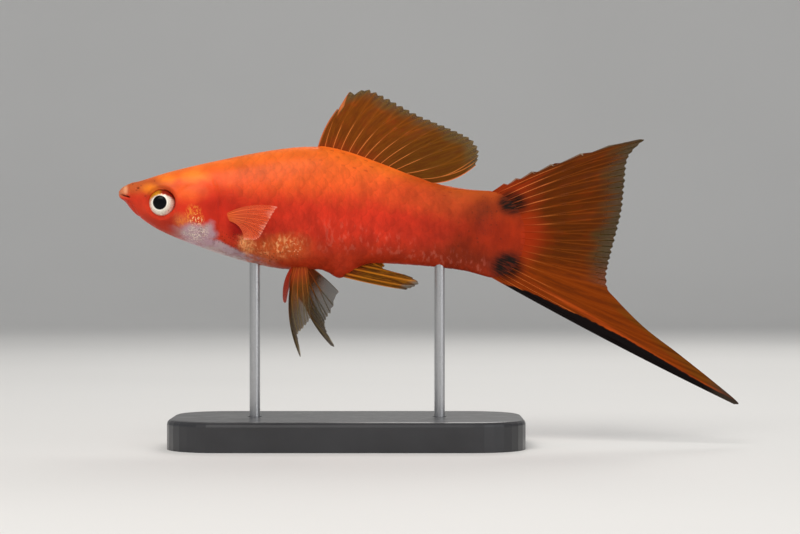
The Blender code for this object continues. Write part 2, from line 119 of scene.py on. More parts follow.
def smooth(points: Points, at: float, part: int = 1) -> float:
    """Reads a smooth curve through points.

    Args:
        points: rows that start with the place, in rising order.
        at: the place to read.
        part: which number of a row to read.

    Returns:
        The curve's value there, held at its end values outside.
    """
    if at <= points[0][0]:
        return points[0][part]
    if at >= points[-1][0]:
        return points[-1][part]
    i = 0
    while at > points[i + 1][0]:
        i += 1
    start, end = points[i], points[i + 1]
    before, after = points[max(i - 1, 0)], points[min(i + 2, len(points) - 1)]
    span = end[0] - start[0]
    t = (at - start[0]) / span
    slope_in = span * (end[part] - before[part]) / (end[0] - before[0])
    slope_out = span * (after[part] - start[part]) / (after[0] - start[0])
    return (
        (2 * t**3 - 3 * t**2 + 1) * start[part]
        + (t**3 - 2 * t**2 + t) * slope_in
        + (3 * t**2 - 2 * t**3) * end[part]
        + (t**3 - t**2) * slope_out
    )


def bump(distance: float, width: float) -> float:
    """A smooth hill, 1 at no distance and near 0 past the width."""
    return math.exp(-((distance / width) ** 2))


def ease(value: float, low: float, high: float) -> float:
    """Rises smoothly from 0 at low to 1 at high."""
    t = min(max((value - low) / (high - low), 0.0), 1.0)
    return t * t * (3 - 2 * t)


def new_piece(name: str, bm: bmesh.types.BMesh, *materials: bpy.types.Material) -> bpy.types.Object:
    """Turns a bmesh into an object at the origin, smooth but for its sharp edges, linked to the scene.

    Args:
        name: the object's name.
        bm: the mesh, in metres, which is freed.
        materials: its finishes.

    Returns:
        The new object.
    """
    mesh = bpy.data.meshes.new(name)
    bm.to_mesh(mesh)
    bm.free()
    mesh.shade_smooth()
    mesh.set_sharp_from_angle(angle=math.radians(50))
    for material in materials:
        mesh.materials.append(material)
    obj = bpy.data.objects.new(name, mesh)
    bpy.context.scene.collection.objects.link(obj)
    return obj


def settle(obj: bpy.types.Object, nodes: Iterable[str] = ()) -> None:
    """Fixes a finished piece to the body and hides the solids it stands for.

    Args:
        obj: the piece.
        nodes: the solids it replaces.
    """
    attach(obj, "root")
    if nodes:
        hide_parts(*nodes)
    log.info("%s: %d faces", obj.name, len(obj.data.polygons))


class Wiring:
    """Writes shader nodes into a tree, from short calls."""

    def __init__(self, tree: bpy.types.NodeTree) -> None:
        """Keeps the tree that nodes are added to."""
        self.tree = tree

    def feed(self, socket: bpy.types.NodeSocket, source: Optional[Source]) -> None:
        """Links a socket to another, or sets it to a number or colour."""
        if isinstance(source, bpy.types.NodeSocket):
            self.tree.links.new(source, socket)
        elif isinstance(source, tuple) and socket.type == "RGBA":
            socket.default_value = (*source, 1.0)
        elif source is not None:
            socket.default_value = source

    def node(self, kind: str, **inputs: Source) -> bpy.types.Node:
        """Adds a node and fills its inputs, named with _ for a space."""
        node = self.tree.nodes.new(kind)
        for name, source in inputs.items():
            self.feed(node.inputs[name.replace("_", " ")], source)
        return node

    def math(self, operation: str, a: Source, b: Source = 0.0, c: Source = 0.0) -> bpy.types.NodeSocket:
        """Adds a Math node and returns its value."""
        node = self.tree.nodes.new("ShaderNodeMath")
        node.operation = operation
        for socket, source in zip(node.inputs, (a, b, c)):
            self.feed(socket, source)
        return node.outputs[0]

    def product(self, first: Source, *others: Source) -> bpy.types.NodeSocket:
        """Multiplies numbers."""
        for other in others:
            first = self.math("MULTIPLY", first, other)
        return first

    def vector(self, operation: str, a: Source, b: Source = (0.0, 0.0, 0.0)) -> bpy.types.NodeSocket:
        """Adds a Vector Math node and returns its vector, or its length for LENGTH."""
        node = self.tree.nodes.new("ShaderNodeVectorMath")
        node.operation = operation
        self.feed(node.inputs[0], a)
        if operation == "SCALE":
            self.feed(node.inputs["Scale"], b)
        elif operation != "LENGTH":
            self.feed(node.inputs[1], b)
        return node.outputs["Value" if operation == "LENGTH" else "Vector"]

    def span(self, value: Source, low: Source, high: Source, start: Source = 0.0, end: Source = 1.0) -> bpy.types.NodeSocket:
        """Maps a value smoothly from the range low to high onto start to end."""
        node = self.tree.nodes.new("ShaderNodeMapRange")
        node.interpolation_type = "SMOOTHSTEP"
        names = ("Value", "From Min", "From Max", "To Min", "To Max")
        for name, source in zip(names, (value, low, high, start, end)):
            self.feed(node.inputs[name], source)
        return node.outputs[0]

    def mix(self, share: Source, a: Source, b: Source, blend: str = "MIX") -> bpy.types.NodeSocket:
        """Mixes two colours by a share."""
        node = self.tree.nodes.new("ShaderNodeMix")
        node.data_type = "RGBA"
        node.blend_type = blend
        self.feed(node.inputs[0], share)
        self.feed(node.inputs[6], a)
        self.feed(node.inputs[7], b)
        return node.outputs[2]

    def grain(self, where: Source, scale: float, detail: float = 2.0, roughness: float = 0.5) -> bpy.types.NodeSocket:
        """Adds a Noise Texture and returns its value."""
        node = self.node("ShaderNodeTexNoise", Vector=where, Scale=scale, Detail=detail, Roughness=roughness)
        return node.outputs["Fac"]

    def parts(self, where: Source) -> tuple[bpy.types.NodeSocket, ...]:
        """Splits a vector into its three numbers."""
        return tuple(self.node("ShaderNodeSeparateXYZ", Vector=where).outputs)

    def joined(self, x: Source, y: Source, z: Source = 0.0) -> bpy.types.NodeSocket:
        """Makes a vector of three numbers."""
        return self.node("ShaderNodeCombineXYZ", X=x, Y=y, Z=z).outputs[0]

    def attribute(self, name: str) -> bpy.types.NodeSocket:
        """Reads one of the mesh's own numbers."""
        node = self.tree.nodes.new("ShaderNodeAttribute")
        node.attribute_name = name
        return node.outputs["Fac"]

    def place(self) -> bpy.types.NodeSocket:
        """The place on the fish as (along, across, high) in millimetres."""
        coordinates = self.tree.nodes.new("ShaderNodeTexCoord").outputs["Object"]
        in_mm = self.vector("SCALE", coordinates, 1 / MM)
        return self.vector("SUBTRACT", in_mm, (SNOUT_FORWARD, 0.0, SNOUT_HIGH))

    def use(self, group: bpy.types.NodeTree, **inputs: Source) -> bpy.types.Node:
        """Places a shader node group and fills its inputs."""
        node = self.tree.nodes.new("ShaderNodeGroup")
        node.node_tree = group
        for name, source in inputs.items():
            self.feed(node.inputs[name.replace("_", " ")], source)
        return node


def new_group(
    name: str, inputs: Iterable[tuple[str, str, Source]], outputs: Iterable[tuple[str, str]]
) -> tuple[bpy.types.NodeTree, Wiring, bpy.types.Node, bpy.types.Node]:
    """Makes an empty shader node group.

    Args:
        name: the group's name.
        inputs: (name, kind, default) of each input, where kind is Float, Color or Vector.
        outputs: (name, kind) of each output.

    Returns:
        The group, its Wiring, its input node and its output node.
    """
    group = bpy.data.node_groups.new(name, "ShaderNodeTree")
    for label, kind, default in inputs:
        socket = group.interface.new_socket(label, in_out="INPUT", socket_type=f"NodeSocket{kind}")
        socket.default_value = (*default, 1.0) if kind == "Color" else default
    for label, kind in outputs:
        group.interface.new_socket(label, in_out="OUTPUT", socket_type=f"NodeSocket{kind}")
    return group, Wiring(group), group.nodes.new("NodeGroupInput"), group.nodes.new("NodeGroupOutput")


def new_material(name: str) -> tuple[bpy.types.Material, Wiring, bpy.types.Node]:
    """Makes a material, and returns it with its Wiring and its Principled shader."""
    material = bpy.data.materials.new(name)
    material.use_nodes = True
    return material, Wiring(material.node_tree), material.node_tree.nodes["Principled BSDF"]


@lru_cache(maxsize=None)
def oval_group() -> bpy.types.NodeTree:
    """A soft oval on the fish, given by its middle and its reach along, across and up."""
    inputs = (
        ("Place", "Vector", (0.0, 0.0, 0.0)),
        ("Middle", "Vector", (0.0, 0.0, 0.0)),
        ("Reach", "Vector", (1.0, 1.0, 1.0)),
        ("Softness", "Float", 0.5),
    )
    group, wire, given, result = new_group("soft oval", inputs, (("Mask", "Float"),))
    away = wire.vector("SUBTRACT", given.outputs["Place"], given.outputs["Middle"])
    distance = wire.vector("LENGTH", wire.vector("DIVIDE", away, given.outputs["Reach"]))
    inner = wire.math("SUBTRACT", 1.0, given.outputs["Softness"])
    outer = wire.math("ADD", 1.0, given.outputs["Softness"])
    wire.feed(result.inputs["Mask"], wire.span(distance, inner, outer, 1.0, 0.0))
    return group


@lru_cache(maxsize=None)
def speck_group() -> bpy.types.NodeTree:
    """Small scattered specks, which are more where the given share is higher."""
    inputs = (
        ("Place", "Vector", (0.0, 0.0, 0.0)),
        ("Scale", "Float", 2.0),
        ("Share", "Float", 0.3),
        ("Size", "Float", 0.4),
    )
    group, wire, given, result = new_group("specks", inputs, (("Mask", "Float"),))
    cells = wire.node("ShaderNodeTexVoronoi", Vector=given.outputs["Place"], Scale=given.outputs["Scale"])
    picked = wire.math("LESS_THAN", wire.parts(cells.outputs["Color"])[0], given.outputs["Share"])
    half = wire.math("MULTIPLY", given.outputs["Size"], 0.5)
    dots = wire.span(cells.outputs["Distance"], half, given.outputs["Size"], 1.0, 0.0)
    wire.feed(result.inputs["Mask"], wire.math("MULTIPLY", dots, picked))
    return group


@lru_cache(maxsize=None)
def ray_group() -> bpy.types.NodeTree:
    """Masks of a fin's branching rays and of the web between them, from its ray number, reach and ray spacing."""
    inputs = (
        ("Ray", "Float", 0.0),
        ("Reach", "Float", 0.0),
        ("Gap", "Float", 1.0),
        ("Split", "Float", 0.45),
        ("Last", "Float", 10.0),
        ("Width", "Float", 0.12),
    )
    outputs = (("Line", "Float"), ("Web", "Float"), ("Joints", "Float"))
    group, wire, given, result = new_group("fin rays", inputs, outputs)
    ray, reach = given.outputs["Ray"], given.outputs["Reach"]
    off = wire.math("ABSOLUTE", wire.math("SUBTRACT", wire.math("FRACT", wire.math("ADD", ray, 0.5)), 0.5))
    short = wire.math("LESS_THAN", ray, wire.math("SUBTRACT", given.outputs["Last"], 0.5))
    inside = wire.math("MULTIPLY", wire.math("GREATER_THAN", ray, 0.5), short)
    spread = wire.math("MULTIPLY", wire.span(reach, given.outputs["Split"], 1.0, 0.0, 0.25), inside)
    from_branch = wire.math("ABSOLUTE", wire.math("SUBTRACT", off, spread))
    distance = wire.math("MULTIPLY", from_branch, given.outputs["Gap"])
    width = wire.math("MULTIPLY", given.outputs["Width"], wire.span(reach, 0.5, 1.0, 1.0, 1.5))
    thin, thick = wire.math("MULTIPLY", width, 0.4), wire.math("MULTIPLY", width, 1.6)
    wire.feed(result.inputs["Line"], wire.span(distance, thin, thick, 1.0, 0.0))
    wire.feed(result.inputs["Web"], wire.span(from_branch, 0.06, 0.20))
    beat = wire.math("ABSOLUTE", wire.math("SUBTRACT", wire.math("FRACT", wire.math("MULTIPLY", reach, 46.0)), 0.5))
    wire.feed(result.inputs["Joints"], wire.span(beat, 0.30, 0.48))
    return group


@lru_cache(maxsize=None)
def fan_group() -> bpy.types.NodeTree:
    """Streaks that spread over the tail fin's root as its rays do."""
    inputs = (("Place", "Vector", (0.0, 0.0, 0.0)),)
    group, wire, given, result = new_group("fan streaks", inputs, (("Mask", "Float"),))
    along, _across, high = wire.parts(given.outputs["Place"])
    behind = wire.math("MAXIMUM", wire.math("SUBTRACT", along, 52.0), 1.0)
    slope = wire.math("DIVIDE", wire.math("ADD", high, 6.0), behind)
    where = wire.joined(wire.math("MULTIPLY", slope, 40.0), wire.math("MULTIPLY", behind, 0.45))
    wire.feed(result.inputs["Mask"], wire.span(wire.grain(where, 1.0, 3.0, 0.6), 0.36, 0.60))
    return group


@dataclass(frozen=True)
class Oval:
    """A soft oval of colour on the fish's side."""

    colour: Colour
    along: float
    high: float
    half_length: float
    half_height: float
    softness: float = 0.5
    strength: float = 1.0

    def mask(self, wire: Wiring, place: Source) -> bpy.types.NodeSocket:
        """The oval's share of cover at a place."""
        reach = (self.half_length, 1000.0, self.half_height)
        middle = (self.along, 0.0, self.high)
        oval = wire.use(oval_group(), Place=place, Middle=middle, Reach=reach, Softness=self.softness)
        return wire.math("MULTIPLY", oval.outputs[0], self.strength)

    def paint(self, wire: Wiring, place: Source, under: Source) -> bpy.types.NodeSocket:
        """Lays the oval's colour over another."""
        return wire.mix(self.mask(wire, place), under, self.colour)


TAIL_ROOT: Colour = (0.32, 0.030, 0.003)
RED_ROOT = Oval((0.36, 0.023, 0.003), 64.9, -7.2, 6.2, 2.9, 0.8, 0.85)
SPOTS = (
    Oval((0.012, 0.006, 0.003), 66.9, -1.6, 2.5, 1.9, 0.45),
    Oval((0.010, 0.005, 0.003), 65.9, -12.2, 2.7, 2.3, 0.45),
)


def spotted(wire: Wiring, place: Source, colour: Source, through: Source = 0.0) -> bpy.types.NodeSocket:
    """Lays the two dark streaky spots over the root of the tail fin.

    Args:
        wire: the tree to write into.
        place: the place on the fish.
        colour: the colour below.
        through: how much of what is below shows through.

    Returns:
        The colour with its spots.
    """
    streaks = wire.use(fan_group(), Place=place).outputs[0]
    cover = wire.product(wire.span(streaks, 0.0, 1.0, 0.74, 1.0), wire.math("SUBTRACT", 1.0, through))
    for spot in SPOTS:
        colour = wire.mix(wire.product(spot.mask(wire, place), cover), colour, spot.colour)
    return colour


@dataclass(frozen=True)
class Markings:
    """Colours of the skin, shared by the skin and its scales, from the back down to the belly, with painted shade by
    the gill cover and the pectoral fin, and painted glints.
    """

    back: Colour = (0.97, 0.175, 0.020)
    upper_flank: Colour = (0.92, 0.105, 0.020)
    flank: Colour = (0.66, 0.033, 0.012)
    lower_flank: Colour = (0.50, 0.034, 0.009)
    belly: Colour = (0.48, 0.045, 0.010)
    silver: Colour = (0.50, 0.40, 0.38)
    lavender: Colour = (0.50, 0.33, 0.38)
    glint: Colour = (1.0, 0.82, 0.50)
    gold: Colour = (0.84, 0.25, 0.035)
    dusk: Colour = (0.17, 0.018, 0.003)
    speck: Colour = (0.06, 0.014, 0.008)

    ovals: tuple[Oval, ...] = (
        Oval((0.47, 0.092, 0.020), 4.0, 1.4, 5.0, 1.6, 0.6, 0.9),
        Oval((0.56, 0.20, 0.090), 0.7, 0.5, 1.1, 1.0, 0.5, 0.8),
        Oval((0.90, 0.50, 0.28), 1.35, 0.85, 0.30, 0.70, 0.8, 0.45),
        Oval((0.66, 0.045, 0.016), 5.0, -3.2, 5.0, 2.8, 0.6, 0.9),
        Oval((0.44, 0.026, 0.010), 9.0, -4.9, 3.2, 1.4, 0.6, 0.7),
        Oval((1.00, 0.27, 0.026), 13.2, 2.9, 2.2, 1.0, 0.8, 0.7),
        Oval((1.00, 0.25, 0.020), 8.6, 2.5, 1.5, 0.8, 0.8, 0.7),
        Oval((0.94, 0.25, 0.012), 5.6, 0.8, 1.1, 0.7, 0.9, 0.7),
        Oval((0.98, 0.16, 0.030), 12.2, 0.2, 2.4, 1.4, 0.8, 0.7),
        # Painted shade: dark red behind the gill cover, where the gill opening's edge and the pectoral fin shade the
        # skin.
        Oval((0.50, 0.020, 0.008), 17.6, -2.6, 3.0, 2.8, 0.7, 0.8),
        # Painted shadow: deep dark red below the pectoral fin's root, cast by the fin.
        Oval((0.31, 0.004, 0.002), 20.6, -5.8, 1.5, 1.7, 0.6, 0.92),
        Oval((0.18, 0.026, 0.004), 62.2, -3.8, 2.6, 3.0, 0.7, 0.70),
        Oval((0.24, 0.024, 0.004), 58.6, -9.8, 5.0, 1.8, 0.7, 0.5),
        Oval((0.62, 0.10, 0.022), 28.0, -9.2, 4.6, 2.0, 0.8, 0.6),
        Oval((0.62, 0.15, 0.055), 23.6, -11.0, 3.6, 1.3, 0.8, 0.6),
        Oval((0.60, 0.046, 0.009), 50.5, 0.9, 6.5, 2.3, 0.8, 0.6),
        Oval((0.86, 0.135, 0.014), 33.0, 5.0, 12.0, 4.0, 0.8, 0.5),
        Oval((0.15, 0.016, 0.003), 60.4, -9.2, 3.8, 2.8, 0.8, 0.72),
    )

    def group(self) -> bpy.types.NodeTree:
        """Builds the node group that paints the markings, with their painted shade and painted glints.

        Returns:
            A group whose outputs are Colour, Shine and Relief.
        """
        outputs = (("Colour", "Color"), ("Shine", "Float"), ("Relief", "Float"))
        group, wire, _given, result = new_group("swordtail markings", (), outputs)
        place = wire.place()
        drift = wire.node("ShaderNodeTexNoise", Vector=place, Scale=0.55, Detail=4.0).outputs["Color"]
        drift = wire.vector("SUBTRACT", drift, (0.5, 0.5, 0.5))
        loose = wire.span(wire.parts(place)[0], 3.0, 20.0, 0.5, 2.2)
        where = wire.vector("ADD", place, wire.vector("SCALE", drift, loose))
        along = wire.parts(where)[0]
        down = wire.attribute("down")
        uneven = wire.math("SUBTRACT", wire.grain(place, 0.7, 4.0), 0.5)
        ragged = wire.math("ADD", down, wire.math("MULTIPLY", uneven, 0.10))
        colour = wire.mix(wire.span(ragged, 0.10, 0.34), self.back, self.upper_flank)
        colour = wire.mix(wire.span(ragged, 0.30, 0.52), colour, self.flank)
        colour = wire.mix(wire.span(ragged, 0.60, 0.82), colour, self.lower_flank)
        under = wire.product(wire.span(ragged, 0.80, 0.95), wire.span(along, 38.0, 26.0))
        colour = wire.mix(under, colour, self.belly)
        for oval in self.ovals:
            colour = oval.paint(wire, where, colour)
        colour = wire.mix(wire.product(wire.span(along, 44.0, 62.0), 0.64), colour, self.dusk)
        colour = wire.mix(wire.product(wire.span(along, 62.0, 67.0), 0.85), colour, TAIL_ROOT)
        colour = RED_ROOT.paint(wire, where, colour)
        blotch = wire.span(wire.grain(place, 0.35, 3.0), 0.35, 0.65, 0.88, 1.06)
        colour = wire.mix(1.0, colour, wire.joined(blotch, blotch, blotch), "MULTIPLY")
        colour, shine = self.silvery(wire, place, where, ragged, colour)
        colour = self.speckled(wire, place, where, down, colour)
        wire.feed(result.inputs["Colour"], colour)
        wire.feed(result.inputs["Shine"], shine)
        wire.feed(result.inputs["Relief"], wire.grain(place, 3.2, 3.0, 0.6))
        return group

    def silvery(
        self, wire: Wiring, place: Source, where: Source, down: Source, colour: Source
    ) -> tuple[bpy.types.NodeSocket, bpy.types.NodeSocket]:
        """Adds the gold and silver of the gill cover, the throat and the breast, with painted glints and sparkle over
        them.

        Args:
            wire: the tree to write into.
            place: the place on the fish.
            where: the same place, drifted a little.
            down: how far round from the back, from 0 to 1.
            colour: the colour below.

        Returns:
            The colour with its silvery parts, and their mask.
        """
        fine = wire.grain(place, 3.0, 4.0, 0.7)
        # Painted sparkle: small white glints of highlight on the silver below the gill cover.
        sparkle_glints = wire.product(wire.span(fine, 0.50, 0.60), Oval(self.glint, 13.4, -6.9, 1.9, 1.1, 0.8).mask(wire, where))
        upright = wire.grain(wire.vector("MULTIPLY", place, (1.0, 1.0, 0.6)), 3.4, 4.0, 0.7)
        blush = Oval(self.gold, 11.3, -4.6, 1.3, 1.0, 0.9, 0.55).mask(wire, where)
        colour = wire.mix(blush, colour, (0.80, 0.22, 0.08))
        patch = wire.math("MAXIMUM", Oval(self.gold, 13.1, -3.7, 1.25, 1.75, 0.35).mask(wire, where), blush)
        gold = wire.product(patch, wire.span(upright, 0.45, 0.57, 0.0, 0.9))
        colour = wire.mix(gold, colour, self.gold)
        # Painted glints: bright yellow highlights on the gill cover's gold.
        bright = wire.product(Oval(self.glint, 13.4, -4.9, 0.9, 0.9, 0.7).mask(wire, where), wire.span(upright, 0.53, 0.60))
        colour = wire.mix(bright, colour, self.glint)
        along = wire.parts(where)[0]
        reach = wire.product(wire.span(along, 8.0, 13.0), wire.span(along, 28.0, 20.0))
        brim = wire.span(along, 13.0, 27.0, 0.725, 0.82)
        throat = wire.product(wire.span(down, brim, wire.math("ADD", brim, 0.04)), reach)
        cheek = Oval(self.silver, 12.9, -6.5, 2.5, 1.3, 0.45).mask(wire, where)
        fore_breast = Oval(self.lavender, 15.5, -6.6, 1.2, 1.7, 0.5).mask(wire, where)
        pale = wire.math("MAXIMUM", wire.math("MAXIMUM", throat, cheek), fore_breast)
        tint = wire.mix(wire.span(wire.grain(place, 0.45, 2.0), 0.42, 0.60), self.lavender, self.silver)
        tint = Oval((0.56, 0.42, 0.44), 18.8, -9.2, 2.4, 1.3, 0.8, 0.7).paint(wire, where, tint)
        mottled = wire.product(wire.span(wire.grain(place, 1.3, 3.0), 0.50, 0.62), wire.span(down, 0.80, 0.90), 0.5)
        tint = wire.mix(mottled, tint, (0.36, 0.15, 0.14))
        # Lays the painted sparkle over the silver.
        tint = wire.mix(wire.product(sparkle_glints, 0.85), tint, (1.0, 0.90, 0.74))
        slanted = wire.vector("MULTIPLY", place, (1.0, 1.0, 0.45))
        streaks = wire.product(wire.span(along, 19.0, 24.0), wire.span(wire.grain(slanted, 1.1, 3.0), 0.44, 0.56), 0.75)
        pale = wire.product(pale, wire.math("SUBTRACT", 1.0, streaks))
        colour = wire.mix(wire.product(pale, 0.92), colour, tint)
        flecks = wire.math(
            "MAXIMUM",
            Oval(self.gold, 22.4, -8.6, 1.3, 1.5, 0.7).mask(wire, where),
            Oval(self.gold, 27.2, -8.8, 3.6, 1.5, 0.8).mask(wire, where),
        )
        colour = wire.mix(wire.product(flecks, 0.60), colour, (0.78, 0.125, 0.022))
        bloom = Oval(self.gold, 21.9, -8.5, 1.1, 1.2, 0.9, 0.9).mask(wire, where)
        colour = wire.mix(wire.product(bloom, wire.span(upright, 0.42, 0.58, 0.25, 1.0)), colour, (0.92, 0.40, 0.15))
        # Painted glints: bright streaks of highlight over the belly's gold flecks.
        tufts = wire.span(wire.grain(wire.vector("MULTIPLY", place, (1.0, 1.0, 0.3)), 0.75, 2.0), 0.44, 0.58, 0.15, 1.0)
        stretched = wire.vector("MULTIPLY", place, (1.0, 1.0, 0.50))
        flecks = wire.product(flecks, tufts, wire.span(wire.grain(stretched, 2.3, 3.0, 0.6), 0.46, 0.62))
        colour = wire.mix(wire.product(flecks, 0.92), colour, (1.0, 0.44, 0.17))
        # Painted glints: small bright pale dots of highlight on the belly.
        beads = wire.use(speck_group(), Place=place, Scale=2.6, Share=0.65, Size=0.36).outputs[0]
        beads = wire.product(beads, Oval(self.glint, 29.7, -9.2, 1.6, 1.1, 0.6).mask(wire, where), 0.75)
        colour = wire.mix(beads, colour, (1.0, 0.56, 0.28))
        return colour, wire.math("MAXIMUM", wire.math("MAXIMUM", pale, gold), flecks)

    def speckled(self, wire: Wiring, place: Source, where: Source, down: Source, colour: Source) -> bpy.types.NodeSocket:
        """Adds the fine dark specks, the painted pale glints on the scales and the two dark spots before the tail fin.

        Args:
            wire: the tree to write into.
            place: the place on the fish.
            where: the same place, drifted a little.
            down: how far round from the back, from 0 to 1.
            colour: the colour below.

        Returns:
            The finished colour.
        """
        along = wire.parts(place)[0]
        snout = wire.product(wire.span(along, 7.0, 3.0), 0.8)
        stalk = Oval(self.speck, 61.5, -5.5, 4.0, 4.5, 0.6).mask(wire, where)
        zone = wire.product(wire.math("MAXIMUM", snout, stalk), 0.30)
        specks = wire.use(speck_group(), Place=place, Scale=1.25, Share=zone, Size=0.30).outputs[0]
        colour = wire.mix(wire.product(specks, 0.40), colour, (0.10, 0.016, 0.004))
        pepper = wire.use(speck_group(), Place=place, Scale=2.8, Share=0.45, Size=0.42).outputs[0]
        for oval in (
            Oval(self.speck, 14.1, -6.1, 1.5, 1.4, 0.8, 0.85),
            Oval(self.speck, 19.4, -8.0, 3.0, 1.7, 0.5),
            Oval(self.speck, 26.5, -10.6, 4.5, 1.3, 0.5),
            Oval(self.speck, 62.3, -3.4, 2.4, 3.6, 0.6, 0.6),
        ):
            colour = wire.mix(wire.product(oval.mask(wire, where), pepper, 0.65), colour, (0.09, 0.015, 0.006))
        return spotted(wire, place, self.on_flank(wire, place, down, colour))

    def on_flank(self, wire: Wiring, place: Source, down: Source, colour: Source) -> bpy.types.NodeSocket:
        """Marks the flank: dark flecks on the scales near the back, and soft upright painted glints lower down.

        Args:
            wire: the tree to write into.
            place: the place on the fish.
            down: how far round from the back, from 0 to 1.
            colour: the colour below.

        Returns:
            The colour with its marks.
        """
        reach, aside, tone = (wire.attribute(name) for name in ("free", "aside", "tone"))
        aside = wire.math("ABSOLUTE", aside)
        along = wire.parts(place)[0]
        back = wire.product(wire.span(along, 28.0, 38.0), wire.span(down, 0.32, 0.20), wire.span(along, 62.0, 56.0))
        edge = wire.product(wire.span(reach, 0.74, 0.86), wire.span(aside, 0.03, 0.20, 1.0, 0.0))
        dark = wire.product(edge, back, wire.span(tone, -0.3, 0.9, 0.0, 0.45))
        colour = wire.mix(dark, colour, (0.26, 0.020, 0.006))
        level = wire.math("ABSOLUTE", wire.math("SUBTRACT", down, wire.span(along, 34.0, 60.0, 0.66, 0.80)))
        near = wire.product(wire.span(along, 30.0, 38.0), wire.span(along, 64.0, 61.0))
        low = wire.product(wire.span(level, 0.05, 0.15, 1.0, 0.0), near)
        upright = wire.vector("MULTIPLY", place, (1.0, 1.0, 0.38))
        # Painted glints: soft pale upright streaks of highlight low on the flank.
        pale_glint_streaks = wire.product(low, wire.span(wire.grain(upright, 1.5, 3.0), 0.52, 0.66), 0.15)
        colour = wire.mix(pale_glint_streaks, colour, (0.92, 0.28, 0.18))
        shade = wire.span(wire.grain(upright, 0.9, 4.0, 0.65), 0.36, 0.64, 0.90, 1.08)
        flank = wire.product(wire.span(along, 14.0, 22.0), wire.span(down, 0.16, 0.30))
        colour = wire.mix(flank, colour, wire.joined(shade, shade, shade), "MULTIPLY")
        rim = wire.product(wire.span(reach, 0.80, 1.0), wire.span(along, 15.0, 24.0), wire.span(along, 61.0, 55.0))
        return wire.mix(wire.product(rim, 0.10), colour, (0.24, 0.014, 0.004))


@dataclass(frozen=True)
class SkinFinish:
    """Satin, slightly fleshy skin in the fish's markings."""

    name: str
    roughness: float = 0.42
    shine_roughness: float = 0.28
    bump: float = 0.18
    coat: float = 0.05
    # Painted shade: the dark of the mouth's cleft and the nostrils.
    hollow_shade_colour: Colour = (0.035, 0.006, 0.005)

    def material(self, markings: bpy.types.NodeTree) -> bpy.types.Material:
        """Builds the finish over the shared markings.

        Args:
            markings: the group that paints the fish.

        Returns:
            The material.
        """
        material, wire, shader = new_material(self.name)
        paint = wire.use(markings)
        tone = wire.attribute("tone")
        shade = wire.math("ADD", 1.0, wire.math("MULTIPLY", tone, 0.06))
        colour = wire.mix(1.0, paint.outputs["Colour"], wire.joined(shade, shade, shade), "MULTIPLY")
        # Painted shade in the mouth's cleft and the nostrils, where the hollow attribute is high.
        colour = wire.mix(wire.attribute("hollow"), colour, self.hollow_shade_colour)
        wire.feed(shader.inputs["Base Color"], colour)
        shine = paint.outputs["Shine"]
        wire.feed(shader.inputs["Roughness"], wire.span(shine, 0.0, 1.0, self.roughness, self.shine_roughness))
        wire.feed(shader.inputs["Metallic"], wire.math("MULTIPLY", shine, 0.30))
        relief = wire.node("ShaderNodeBump", Strength=self.bump, Distance=0.0003, Height=paint.outputs["Relief"])
        wire.feed(shader.inputs["Normal"], relief.outputs["Normal"])
        shader.inputs["Specular IOR Level"].default_value = 0.08
        shader.inputs["Coat Weight"].default_value = self.coat
        shader.inputs["Coat Roughness"].default_value = 0.22
        shader.inputs["Subsurface Weight"].default_value = 0.10
        shader.inputs["Subsurface Radius"].default_value = (1.0, 0.25, 0.10)
        shader.inputs["Subsurface Scale"].default_value = 0.0010
        return material


